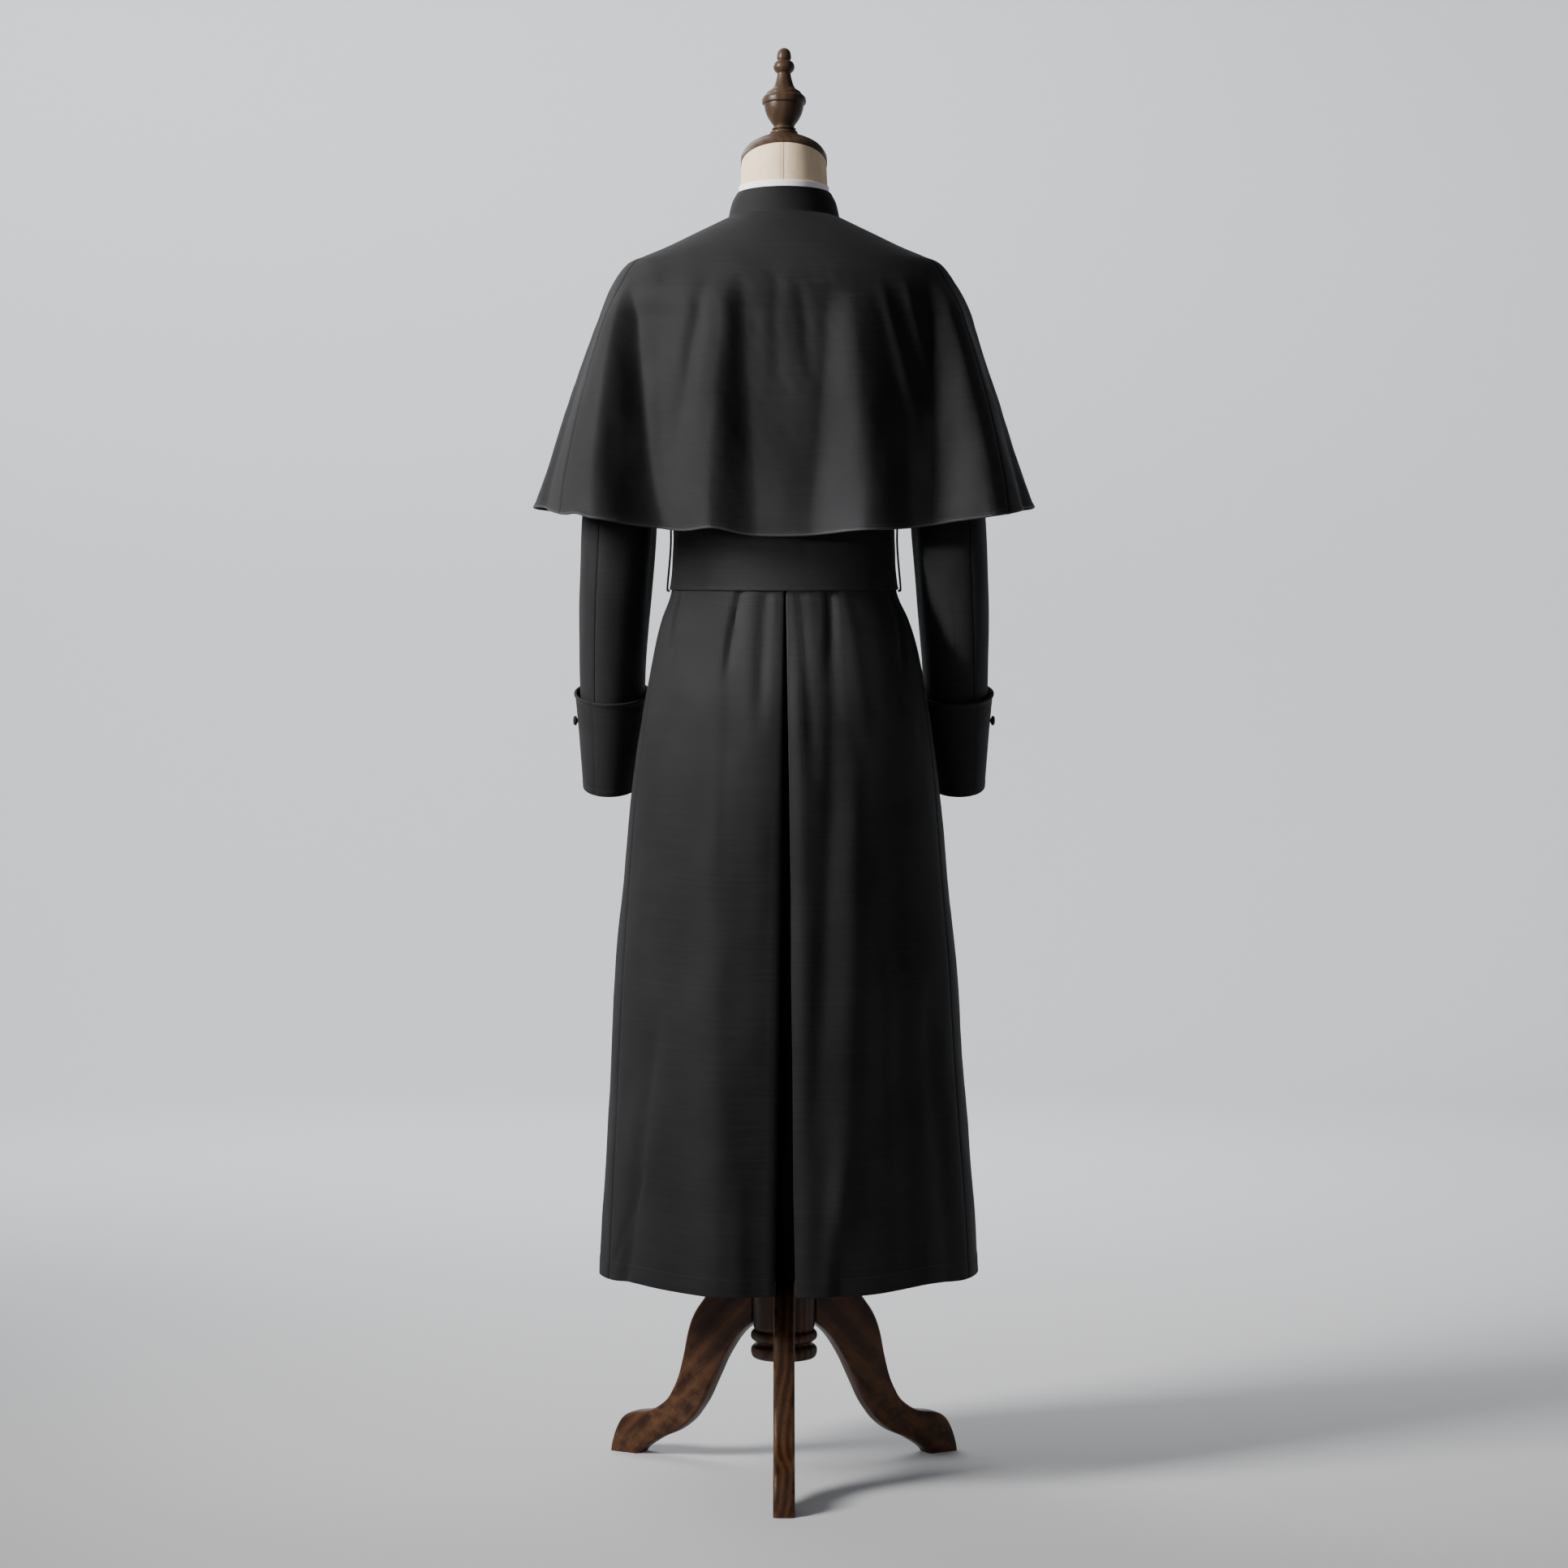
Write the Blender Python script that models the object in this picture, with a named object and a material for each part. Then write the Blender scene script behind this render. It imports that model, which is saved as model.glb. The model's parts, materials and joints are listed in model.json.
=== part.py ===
"""Black cassock with a shoulder cape, worn by a linen dress form on a three-legged stand.

The garment faces -Y, so its back is toward +Y and the wearer's left is +X.  Angles round the
body start at the centre back and grow toward the wearer's left.  Every cloth surface below is
the middle of the cloth, and a Solidify modifier gives it its thickness.
"""
import math
from collections import namedtuple

import bmesh
import bpy
from mathutils import Vector

# Driving dimensions, metres
POLE_Y = -0.0307              # the pole stands here, so the whole part is centred on Y
CLOTH = 0.0016                # cassock wool
CAPE_CLOTH = 0.0018
COLLAR_CLOTH = 0.0016
WHITE_CLOTH = 0.0012
CUFF_CLOTH = 0.0020
SEAM_GAP = 0.0003
SAG = 0.0009                  # room for the flats of a faceted curve
FLAT_TURN = 0.0002            # a seam's faces lean together by this much

HEM = 0.256
WAIST = 1.146
ARMPIT = 1.440
SHOULDER_TIP = 1.576
NECKLINE = 1.629
BAND_BOTTOM = 1.150
BAND_TOP = 1.275
BAND_BACK_SAG = 0.009         # the band's lower edge dips at the centre back

ARM_SWEEP = 27.0              # half the armhole's width, degrees round the body
ARM_STEP = 30.0               # armhole corners, degrees round the armhole
SLEEVE_STEP = 15.0
BACK_SLEEVE_SEAM = 60.0       # from the sleeve's outer edge, toward the back
FRONT_SLEEVE_SEAM = 225.0

LAP = 0.015                   # each front passes the centre by this much
LAP_STEP = 0.0022             # the right front lies this much deeper under the left
LAP_REACH = 0.026             # it starts to step in this far before the centre
LAP_RUN = 0.008
ROLL_SHARE = 0.45             # the left back panel rolls into the pleat, the right turns crisply
ROLL_MOST = 0.006
CRISP_ROLL = 0.0009
CRISP_STEP = 0.0004
BUTTON_RADIUS = 0.0066
BUTTON_RISE = 0.0032
BUTTON_PITCH = 0.050
FIRST_BUTTON = 1.580
LAST_BUTTON = 0.330
CUFF_BUTTON_STATION = 9.05
BELOW_BAND = 0.032            # no front button within this much of the band
ABOVE_BAND = 0.012

LOOP_THREAD = 0.0010          # radius of the band's thread loops
LOOP_REACH = 0.010            # they start this far below the band and end as far above it
LOOP_CLEAR = 0.0040           # they stand off the band, and a little more at their middle
LOOP_BOW = 0.0025
LOOP_BEND = 0.012

CAPE_OPEN_TOP = 0.012         # half the front opening at the collar and at the hem
CAPE_OPEN_HEM = 0.045
CAPE_SEAM_TOP = 76.0
CAPE_SEAM_HEM = 56.0

POLE_RADIUS = 0.015
FORM_BOTTOM = 0.900
FORM_STEP = 12.0              # degrees between the form's flats, shared by the collars
NECK_TILT = 0.0117            # the slanted neck top is this much higher at the back
LEG_COUNT = 3
LEG_THICK = 0.027
LEG_ROUND = 0.006

# Rings of the body, from the hem to the neckline.  left and right are half widths, back and
# front are half depths, and drop lowers the ring at the centre front.
BodyRow = namedtuple("BodyRow", "height left right back front drop")
BODY = [
    BodyRow(0.256, 0.2400, 0.2530, 0.1890, 0.1990, 0.0),
    BodyRow(0.341, 0.2362, 0.2490, 0.1835, 0.1930, 0.0),
    BodyRow(0.435, 0.2312, 0.2410, 0.1775, 0.1865, 0.0),
    BodyRow(0.548, 0.2252, 0.2320, 0.1705, 0.1785, 0.0),
    BodyRow(0.669, 0.2182, 0.2240, 0.1625, 0.1705, 0.0),
    BodyRow(0.775, 0.2092, 0.2130, 0.1560, 0.1635, 0.0),
    BodyRow(0.892, 0.1972, 0.2020, 0.1475, 0.1550, 0.0),
    BodyRow(0.986, 0.1832, 0.1900, 0.1390, 0.1460, 0.0),
    BodyRow(1.068, 0.1692, 0.1745, 0.1285, 0.1345, 0.0),
    BodyRow(1.110, 0.1590, 0.1620, 0.1215, 0.1265, 0.0),
    BodyRow(WAIST, 0.1465, 0.1465, 0.1130, 0.1170, 0.0),
    BodyRow(1.200, 0.1412, 0.1412, 0.1085, 0.1120, 0.0),
    BodyRow(1.270, 0.1430, 0.1430, 0.1120, 0.1150, 0.0),
    BodyRow(1.350, 0.1550, 0.1550, 0.1210, 0.1220, 0.0),
    BodyRow(ARMPIT, 0.1690, 0.1690, 0.1270, 0.1250, 0.0),
    BodyRow(1.500, 0.1755, 0.1755, 0.1240, 0.1200, 0.001),
    BodyRow(1.545, 0.1790, 0.1790, 0.1120, 0.1050, 0.005),
    BodyRow(1.566, 0.1785, 0.1785, 0.1000, 0.0920, 0.009),
    BodyRow(SHOULDER_TIP, 0.1750, 0.1750, 0.0920, 0.0840, 0.012),
    BodyRow(1.587, 0.1570, 0.1570, 0.0840, 0.0770, 0.016),
    BodyRow(1.606, 0.1190, 0.1190, 0.0735, 0.0690, 0.022),
    BodyRow(1.621, 0.0870, 0.0870, 0.0668, 0.0640, 0.026),
    BodyRow(NECKLINE, 0.0720, 0.0720, 0.0640, 0.0615, 0.028),
]

# The side seam leans toward the back below the arm.
SeamRow = namedtuple("SeamRow", "height angle")
SIDE_SEAM = [
    SeamRow(HEM, 69.0),
    SeamRow(0.700, 71.0),
    SeamRow(WAIST, 78.0),
    SeamRow(1.300, 84.0),
    SeamRow(ARMPIT, 90.0),
]

# Soft folds of the skirt.  A fold runs from low to high with its full rise (a negative rise is
# a trough) and dies out over fade beyond each end.
Fold = namedtuple("Fold", "angle_low angle_high width low high fade rise")
SKIRT_FOLDS = [
    Fold(20.5, 23.0, 7.5, 0.200, 0.700, 0.250, 0.0060),
    Fold(4.0, 3.0, 6.0, 0.200, 0.700, 0.350, -0.0045),
    Fold(57.0, 48.0, 3.3, 0.270, 0.520, 0.120, -0.0040),
    Fold(44.0, 43.0, 8.0, 0.200, 0.700, 0.200, 0.0040),
    Fold(-1.5, -1.0, 4.0, 0.200, 1.136, 0.100, -0.0020),
    Fold(-7.0, -6.0, 3.3, 0.200, 0.950, 0.150, 0.0032),
    Fold(-9.5, -19.5, 3.3, 0.520, 1.000, 0.140, -0.0030),
    Fold(-17.5, -25.5, 4.0, 0.400, 0.950, 0.140, 0.0042),
    Fold(-12.0, -16.5, 2.9, 0.240, 0.380, 0.070, 0.0045),
    Fold(-42.0, -43.0, 8.0, 0.200, 0.700, 0.200, 0.0020),
    Fold(-57.0, -55.0, 6.0, 0.200, 0.500, 0.180, -0.0035),
    Fold(24.2, 22.8, 2.0, 1.050, 1.136, 0.100, -0.0044),
    Fold(58.0, 62.0, 3.2, 1.080, 1.128, 0.035, -0.0045),
    Fold(-21.0, -23.2, 2.5, 1.040, 1.136, 0.110, -0.0056),
    Fold(-62.0, -66.0, 3.2, 1.070, 1.110, 0.035, -0.0045),
    Fold(96.0, 100.0, 7.0, 0.200, 0.760, 0.200, -0.0070),
    Fold(117.0, 116.0, 8.0, 0.200, 0.800, 0.200, 0.0060),
    Fold(138.0, 134.0, 6.0, 0.200, 0.850, 0.180, -0.0085),
    Fold(153.0, 150.0, 6.0, 0.200, 0.700, 0.180, 0.0050),
    Fold(-98.0, -101.0, 7.0, 0.200, 0.700, 0.200, -0.0070),
    Fold(-121.0, -119.0, 8.0, 0.200, 0.820, 0.200, 0.0060),
    Fold(-141.0, -136.0, 6.0, 0.200, 0.850, 0.180, -0.0080),
    Fold(-156.0, -152.0, 6.0, 0.200, 0.700, 0.180, 0.0050),
    Fold(135.0, 140.0, 3.4, 1.080, 1.128, 0.035, -0.0045),
    Fold(-134.0, -139.0, 3.4, 1.080, 1.128, 0.035, -0.0045),
]

# The centre-back pleat: where each back panel turns in, and how deep the turned-in edge goes.
PleatRow = namedtuple("PleatRow", "height right left depth reach")
PLEAT = [
    PleatRow(HEM, -0.0148, 0.0121, 0.0175, 0.045),
    PleatRow(0.370, -0.0121, 0.0100, 0.0160, 0.042),
    PleatRow(0.780, -0.0081, 0.0030, 0.0125, 0.033),
    PleatRow(WAIST, -0.0024, -0.0004, 0.0045, 0.022),
    PleatRow(1.200, -0.0002, 0.0002, 0.0036, 0.020),
    PleatRow(1.570, -0.0002, 0.0002, 0.0028, 0.020),
    PleatRow(NECKLINE, -0.0002, 0.0002, 0.0018, 0.020),
]
UNDERLAY_HEM = 0.273
UNDERLAY_TOP = 1.190

# Shoulder cape, from the collar to its hem.
CapeRow = namedtuple("CapeRow", "side_x side_z back_y back_z front_y front_z")
CAPE = [
    CapeRow(0.0738, 1.6325, 0.0657, 1.6325, 0.0632, 1.6045),
    CapeRow(0.1190, 1.6103, 0.0790, 1.6155, 0.0770, 1.5918),
    CapeRow(0.1580, 1.5916, 0.0920, 1.5975, 0.0900, 1.5769),
    CapeRow(0.1870, 1.5800, 0.1030, 1.5800, 0.1005, 1.5620),
    CapeRow(0.2065, 1.5710, 0.1130, 1.5620, 0.1100, 1.5462),
    CapeRow(0.2265, 1.5410, 0.1275, 1.5360, 0.1250, 1.5269),
    CapeRow(0.2427, 1.5000, 0.1455, 1.4990, 0.1360, 1.4962),
    CapeRow(0.2582, 1.4570, 0.1570, 1.4550, 0.1430, 1.4603),
    CapeRow(0.2732, 1.4130, 0.1650, 1.4100, 0.1470, 1.4235),
    CapeRow(0.2877, 1.3700, 0.1720, 1.3660, 0.1545, 1.3866),
    CapeRow(0.3022, 1.3230, 0.1790, 1.3150, 0.1620, 1.3446),
    CapeRow(0.3150, 1.2850, 0.1855, 1.2620, 0.1690, 1.3007),
    CapeRow(0.3238, 1.2570, 0.1910, 1.2075, 0.1750, 1.2560),
]

# Flanks of the flutes across the cape's back: the angle and width in degrees at the hem and at
# the top of each, where down the cape (0 at the collar, 1 at the hem) it starts, and how much
# farther out the cloth lies past it, going toward the wearer's right.
Flank = namedtuple("Flank", "angle_hem angle_top wide_hem wide_top start rise")
CAPE_FLANKS = [
    Flank(60.0, 72.0, 24.0, 18.0, 0.38, 0.0280),
    Flank(37.2, 62.0, 15.5, 5.0, 0.40, -0.0680),
    Flank(22.5, 38.0, 13.0, 24.0, 0.40, 0.0240),
    Flank(12.2, 17.0, 12.5, 6.0, 0.37, -0.0300),
    Flank(-13.0, -19.0, 14.0, 8.0, 0.40, 0.0370),
    Flank(-26.5, -30.0, 13.0, 15.0, 0.41, -0.0210),
    Flank(-45.0, -58.5, 14.0, 7.0, 0.38, 0.0540),
    Flank(-65.0, -72.0, 22.0, 18.0, 0.38, -0.0240),
]

# Softer flutes at the cape's sides and front.
Flute = namedtuple("Flute", "angle_hem angle_top width start rise")
CAPE_FLUTES = [
    Flute(76.0, 84.0, 6.0, 0.45, -0.0080),
    Flute(-76.0, -84.0, 6.0, 0.45, -0.0080),
    Flute(97.0, 98.0, 7.0, 0.45, 0.0050),
    Flute(-98.0, -98.0, 7.0, 0.45, 0.0050),
    Flute(126.0, 133.0, 6.0, 0.42, -0.0180),
    Flute(-124.0, -132.0, 6.0, 0.42, -0.0190),
    Flute(141.0, 143.0, 6.0, 0.40, 0.0070),
    Flute(-139.0, -143.0, 6.0, 0.40, 0.0070),
    Flute(154.0, 156.0, 4.5, 0.45, -0.0110),
    Flute(-155.0, -156.0, 4.5, 0.45, -0.0100),
]

# Sleeve sections from the crown to the wrist: the inner and outer points of each ring, its
# place and half size fore and aft, and how far it leans to follow the forearm.
SleeveRow = namedtuple("SleeveRow", "in_x in_z out_x out_z mid_y depth pitch")
SLEEVE = [
    SleeveRow(0.1745, 1.4425, 0.1975, 1.5660, 0.000, 0.0600, 0.0),
    SleeveRow(0.1785, 1.4340, 0.2150, 1.5430, 0.000, 0.0595, 0.0),
    SleeveRow(0.1785, 1.4150, 0.2300, 1.4980, 0.001, 0.0600, 1.0),
    SleeveRow(0.1755, 1.3850, 0.2430, 1.4330, 0.000, 0.0610, 2.0),
    SleeveRow(0.1700, 1.3200, 0.2560, 1.3330, -0.006, 0.0600, 6.0),
    SleeveRow(0.1670, 1.2450, 0.2635, 1.2450, -0.015, 0.0585, 11.0),
    SleeveRow(0.1745, 1.1500, 0.2685, 1.1500, -0.031, 0.0570, 15.0),
    SleeveRow(0.1830, 1.0600, 0.2700, 1.0600, -0.056, 0.0555, 17.0),
    SleeveRow(0.1875, 0.9850, 0.2690, 0.9850, -0.079, 0.0530, 17.0),
    SleeveRow(0.1990, 0.8940, 0.2655, 0.8940, -0.106, 0.0500, 17.0),
]
SLEEVE_END = 9.97             # sleeve stations run from 0 at the armhole to 10 at the wrist
CuffRow = namedtuple("CuffRow", "station lift")
CUFF = [
    CuffRow(8.55, 0.0052),
    CuffRow(9.20, 0.0037),
    CuffRow(10.0, 0.0024),
]

# Collar rings: half width, half depth back and front, height and front drop.
CollarRow = namedtuple("CollarRow", "side back front height drop")
COLLAR = [
    CollarRow(0.0722, 0.0636, 0.0614, 1.6318, 0.0280),
    CollarRow(0.0699, 0.0622, 0.0604, 1.6440, 0.0275),
    CollarRow(0.0664, 0.0608, 0.0596, 1.6560, 0.0265),
    CollarRow(0.0604, 0.0600, 0.0590, 1.6657, 0.0250),
]
COLLAR_WHITE = [
    CollarRow(0.0646, 0.0588, 0.0578, 1.6520, 0.0262),
    CollarRow(0.0586, 0.0582, 0.0571, 1.6648, 0.0250),
    CollarRow(0.0585, 0.0581, 0.0570, 1.6744, 0.0240),
]
COLLAR_OPEN = 2.6             # degrees from the centre front to each end of the stand collar

# How far the form's surface lies inside the cloth, at its sides and at its back and front.
FormRow = namedtuple("FormRow", "height side middle")
FORM = [
    FormRow(FORM_BOTTOM, 0.046, 0.038),
    FormRow(0.915, 0.036, 0.030),
    FormRow(0.970, 0.026, 0.022),
    FormRow(1.068, 0.018, 0.016),
    FormRow(1.146, 0.009, 0.010),
    FormRow(1.200, 0.007, 0.009),
    FormRow(1.350, 0.007, 0.008),
    FormRow(ARMPIT, 0.007, 0.008),
    FormRow(1.500, 0.006, 0.007),
    FormRow(1.545, 0.0050, 0.007),
    FormRow(SHOULDER_TIP, 0.0034, 0.006),
    FormRow(1.588, 0.0018, 0.0055),
    FormRow(1.607, 0.0015, 0.0055),
    FormRow(NECKLINE, 0.0015, 0.0045),
]
NECK = [
    CollarRow(0.0635, 0.0568, 0.0546, 1.6345, 0.0270),
    CollarRow(0.0598, 0.0562, 0.0548, 1.6450, 0.0240),
    CollarRow(0.0577, 0.0560, 0.0552, 1.6640, 0.0170),
    CollarRow(0.0564, 0.0558, 0.0554, 1.6900, 0.0080),
]
NECK_TOP_RADIUS = 0.0555
NECK_TOP = 1.7109

# Turned profiles, radius and height
Turn = namedtuple("Turn", "radius height")
CAP = [
    Turn(0.0562, 1.6960), Turn(0.0562, 1.7120), Turn(0.0546, 1.7184), Turn(0.0519, 1.7237),
    Turn(0.0476, 1.7290), Turn(0.0408, 1.7342), Turn(0.0310, 1.7390), Turn(0.0230, 1.7422),
    Turn(0.0185, 1.7440),
]
FINIAL = [
    Turn(0.0178, 1.7443), Turn(0.0173, 1.7468), Turn(0.0132, 1.7500), Turn(0.0132, 1.7534),
    Turn(0.0146, 1.7566), Turn(0.0178, 1.7608), Turn(0.0211, 1.7661), Turn(0.0235, 1.7714),
    Turn(0.0251, 1.7767), Turn(0.0262, 1.7826), Turn(0.0277, 1.7842), Turn(0.0286, 1.7874),
    Turn(0.0281, 1.7905), Turn(0.0262, 1.7940), Turn(0.0232, 1.7975), Turn(0.0190, 1.8008),
    Turn(0.0143, 1.8054), Turn(0.0108, 1.8120), Turn(0.0090, 1.8185), Turn(0.0086, 1.8239),
    Turn(0.0120, 1.8268), Turn(0.0140, 1.8319), Turn(0.0120, 1.8380), Turn(0.0082, 1.8403),
    Turn(0.0093, 1.8428), Turn(0.0094, 1.8470), Turn(0.0080, 1.8524), Turn(0.0050, 1.8557),
    Turn(0.0018, 1.8570),
]
HUB = [
    Turn(0.0300, 0.1470), Turn(0.0400, 0.1500), Turn(0.0425, 0.1580), Turn(0.0412, 0.1660),
    Turn(0.0440, 0.1700), Turn(0.0440, 0.1820), Turn(0.0412, 0.1860), Turn(0.0400, 0.2700),
    Turn(0.0330, 0.2860), Turn(0.0240, 0.3000), Turn(0.0200, 0.3060),
]

# Leg outline in its own upright plane, radius from the pole and height.
LEG_TOP_EDGE = [
    Turn(0.0418, 0.2600), Turn(0.0600, 0.2590), Turn(0.0800, 0.2520), Turn(0.0980, 0.2390),
    Turn(0.1170, 0.2160), Turn(0.1315, 0.1960), Turn(0.1410, 0.1730), Turn(0.1480, 0.1410),
    Turn(0.1560, 0.1115), Turn(0.1650, 0.0920), Turn(0.1760, 0.0760), Turn(0.1990, 0.0610),
    Turn(0.2290, 0.0550), Turn(0.2440, 0.0470), Turn(0.2540, 0.0320), Turn(0.2610, 0.0120),
]
LEG_UNDER_EDGE = [
    Turn(0.2180, 0.0000), Turn(0.1990, 0.0170), Turn(0.1610, 0.0350), Turn(0.1430, 0.0480),
    Turn(0.1205, 0.0740), Turn(0.1020, 0.1100), Turn(0.0870, 0.1400), Turn(0.0690, 0.1670),
    Turn(0.0560, 0.1800), Turn(0.0455, 0.1880), Turn(0.0418, 0.1910),
]
FOOT_TIP = Turn(0.2630, 0.0)

# Surface finishes: base colour, roughness
FINISHES = {
    "black wool": ((0.012, 0.012, 0.014), 0.86),
    "white linen": ((0.86, 0.86, 0.85), 0.70),
    "natural linen": ((0.72, 0.63, 0.50), 0.88),
    "walnut": ((0.085, 0.050, 0.030), 0.42),
}


# ---- values along tables ----

def along(rows, station):
    """The row at a fractional station, every column on a smooth curve through the rows."""
    last = len(rows) - 1
    station = min(max(station, 0.0), float(last))
    low = min(int(station), last - 1)
    part = station - low
    before, start = rows[max(low - 1, 0)], rows[low]
    end, after = rows[low + 1], rows[min(low + 2, last)]
    columns = []
    for a, b, c, d in zip(before, start, end, after):
        slope_in, slope_out = (c - a) / 2, (d - b) / 2
        rest = 1 - part
        columns.append(b * rest * rest * (1 + 2 * part) + c * part * part * (3 - 2 * part)
                       + slope_in * part * rest * rest - slope_out * part * part * rest)
    return type(rows[0])(*columns)


def at_height(rows, height):
    """The row of a table at a height, straight between its neighbours."""
    if height <= rows[0].height:
        return rows[0]
    for low, high in zip(rows, rows[1:]):
        if height <= high.height:
            part = (height - low.height) / (high.height - low.height)
            return type(low)(*(a + (b - a) * part for a, b in zip(low, high)))
    return rows[-1]


def body_station(height):
    """The station of BODY whose ring is at a height."""
    low, high = 0.0, float(len(BODY) - 1)
    for _ in range(30):
        middle = (low + high) / 2
        if along(BODY, middle).height < height:
            low = middle
        else:
            high = middle
    return (low + high) / 2


def smooth_step(value):
    value = min(max(value, 0.0), 1.0)
    return value * value * (3 - 2 * value)


def angle_between(angle, other):
    """The signed difference of two angles, in degrees."""
    return (angle - other + 180.0) % 360.0 - 180.0


# ---- surfaces ----

def lifted(surface, u, v, lift):
    """A point of a surface moved out along the surface's own normal."""
    point = surface(u, v)
    if lift == 0.0:
        return point
    across = surface(u + 0.5, v) - surface(u - 0.5, v)
    up = surface(u, v + 0.02) - surface(u, v - 0.02)
    normal = across.cross(up).normalized()
    return point - normal * lift


def ring_point(side, back, front, height, drop, angle):
    """A point of an oval ring that hangs lower at the centre front."""
    turn = math.radians(angle)
    forward = max(0.0, -math.cos(turn))
    depth = back if math.cos(turn) > 0 else front
    return Vector((side * math.sin(turn), depth * math.cos(turn), height - drop * forward ** 1.5))


def skirt_rise(angle, height):
    """How far the folds move the skirt out at an angle and a height."""
    total = 0.0
    for fold in SKIRT_FOLDS:
        run = (height - fold.low) / (fold.high - fold.low)
        centre = fold.angle_low + (fold.angle_high - fold.angle_low) * run
        offset = angle_between(angle, centre) / fold.width
        if abs(offset) < 3:
            below = smooth_step((height - fold.low + fold.fade) / fold.fade)
            above = smooth_step((fold.high + fold.fade - height) / fold.fade)
            total += fold.rise * math.exp(-offset * offset) * below * above
    return total * smooth_step((BAND_BOTTOM - height) / 0.020)


def body_plain(angle, station):
    """The body without its folds."""
    row = along(BODY, station)
    side = row.left if math.sin(math.radians(angle)) > 0 else row.right
    return ring_point(side, row.back, row.front, row.height, row.drop, angle)


def body(angle, station):
    """The body with the skirt's folds."""
    row = along(BODY, station)
    point = body_plain(angle, station)
    turn = math.radians(angle)
    side = row.left if math.sin(turn) > 0 else row.right
    depth = row.back if math.cos(turn) > 0 else row.front
    out = Vector((math.sin(turn) / side, math.cos(turn) / depth, 0.0)).normalized()
    return point + out * skirt_rise(angle, row.height)


def cape(angle, part):
    """The cape; part runs from 0 at the collar to 1 at the hem."""
    row = along(CAPE, part * (len(CAPE) - 1))
    turn = math.radians(angle)
    sine, cosine = math.sin(turn), math.cos(turn)
    end_y = row.back_y if cosine > 0 else row.front_y
    end_z = row.back_z if cosine > 0 else row.front_z
    share = abs(cosine) ** 1.6
    point = Vector((row.side_x * sine, end_y * cosine,
                    row.side_z * (1 - share) + end_z * share))
    rise = 0.0
    for flank in CAPE_FLANKS:
        run = (part - flank.start) / (1 - flank.start)
        if run > 0:
            centre = flank.angle_top + (flank.angle_hem - flank.angle_top) * run ** 0.8
            wide = flank.wide_top + (flank.wide_hem - flank.wide_top) * run
            passed = smooth_step((centre - angle_between(angle, 0.0)) / wide + 0.5)
            rise += flank.rise * passed * run ** 0.6 * smooth_step(run / 0.20)
    for flute in CAPE_FLUTES:
        run = (part - flute.start) / (1 - flute.start)
        if run > 0:
            centre = flute.angle_top + (flute.angle_hem - flute.angle_top) * run
            offset = angle_between(angle, centre) / flute.width
            rise += flute.rise * math.exp(-offset * offset) * run ** 0.8
    out = Vector((sine / row.side_x, cosine / end_y, 0.0)).normalized()
    return point + out * rise


def armhole(angle):
    """A corner of the left armhole; 0 is the shoulder tip and 90 faces back."""
    turn = math.radians(angle)
    height = ARMPIT + (SHOULDER_TIP - ARMPIT) * (1 + math.cos(turn)) / 2
    return body_plain(90.0 - ARM_SWEEP * math.sin(turn), body_station(height))


def sleeve_start(angle):
    """The sleeve's first ring, inside the straight stretches of the armhole."""
    low = math.floor(angle / ARM_STEP) * ARM_STEP
    part = (angle - low) / ARM_STEP
    point = armhole(low) * (1 - part) + armhole(low + ARM_STEP) * part
    centre = (armhole(0.0) + armhole(180.0)) / 2
    inward = centre - point
    inward.x = 0.0
    return point + inward.normalized() * (SEAM_GAP * 1.5 + CLOTH / 2)


def sleeve(angle, station):
    """The left sleeve; 0 is its outer edge and 90 its back."""
    row = along(SLEEVE, max(station - 1, 0.0))
    turn = math.radians(angle)
    inner = Vector((row.in_x, row.mid_y, row.in_z))
    outer = Vector((row.out_x, row.mid_y, row.out_z))
    pitch = math.radians(row.pitch)
    back = Vector((0.0, math.cos(pitch), -math.sin(pitch))) * row.depth
    point = (inner + outer) / 2 + (outer - inner) / 2 * math.cos(turn) + back * math.sin(turn)
    if station < 1:
        point = sleeve_start(angle) * (1 - station) + point * station
    return point


def collar_ring(row, angle):
    return ring_point(row.side, row.back, row.front, row.height, row.drop, angle)


# ---- objects ----

def finish(item, finish_name):
    colour, roughness = FINISHES[finish_name]
    material = bpy.data.materials.new(item.name + " " + finish_name)
    material.use_nodes = True
    shader = material.node_tree.nodes["Principled BSDF"]
    shader.inputs["Base Color"].default_value = (*colour, 1.0)
    shader.inputs["Roughness"].default_value = roughness
    shader.inputs["Metallic"].default_value = 0.0
    material.diffuse_color = (*colour, 1.0)
    item.data.materials.append(material)


def add_object(name, mesh, finish_name, parent):
    item = bpy.data.objects.new(name, mesh)
    bpy.context.scene.collection.objects.link(item)
    item.parent = parent
    finish(item, finish_name)
    return item


def add_bmesh(name, work, finish_name, parent, sharp=40.0):
    mesh = bpy.data.meshes.new(name)
    work.to_mesh(mesh)
    work.free()
    mesh.shade_smooth()
    mesh.set_sharp_from_angle(angle=math.radians(sharp))
    return add_object(name, mesh, finish_name, parent)


def grid_faces(work, rows, closed):
    """Faces between rows of vertices; a closed grid joins its last column to its first."""
    for low, high in zip(rows, rows[1:]):
        count = len(low)
        for i in range(count if closed else count - 1):
            j = (i + 1) % count
            work.faces.new((low[i], low[j], high[j], high[i]))


def cloth(name, rows, thickness, parent, finish_name="black wool", closed=False):
    """A wall of cloth whose middle surface is a grid of points."""
    work = bmesh.new()
    grid_faces(work, [[work.verts.new(point) for point in row] for row in rows], closed)
    item = add_bmesh(name, work, finish_name, parent)
    wall = item.modifiers.new("Cloth", "SOLIDIFY")
    wall.thickness = thickness
    wall.offset = 0.0
    wall.use_even_offset = True
    wall.use_quality_normals = True
    return item


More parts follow.
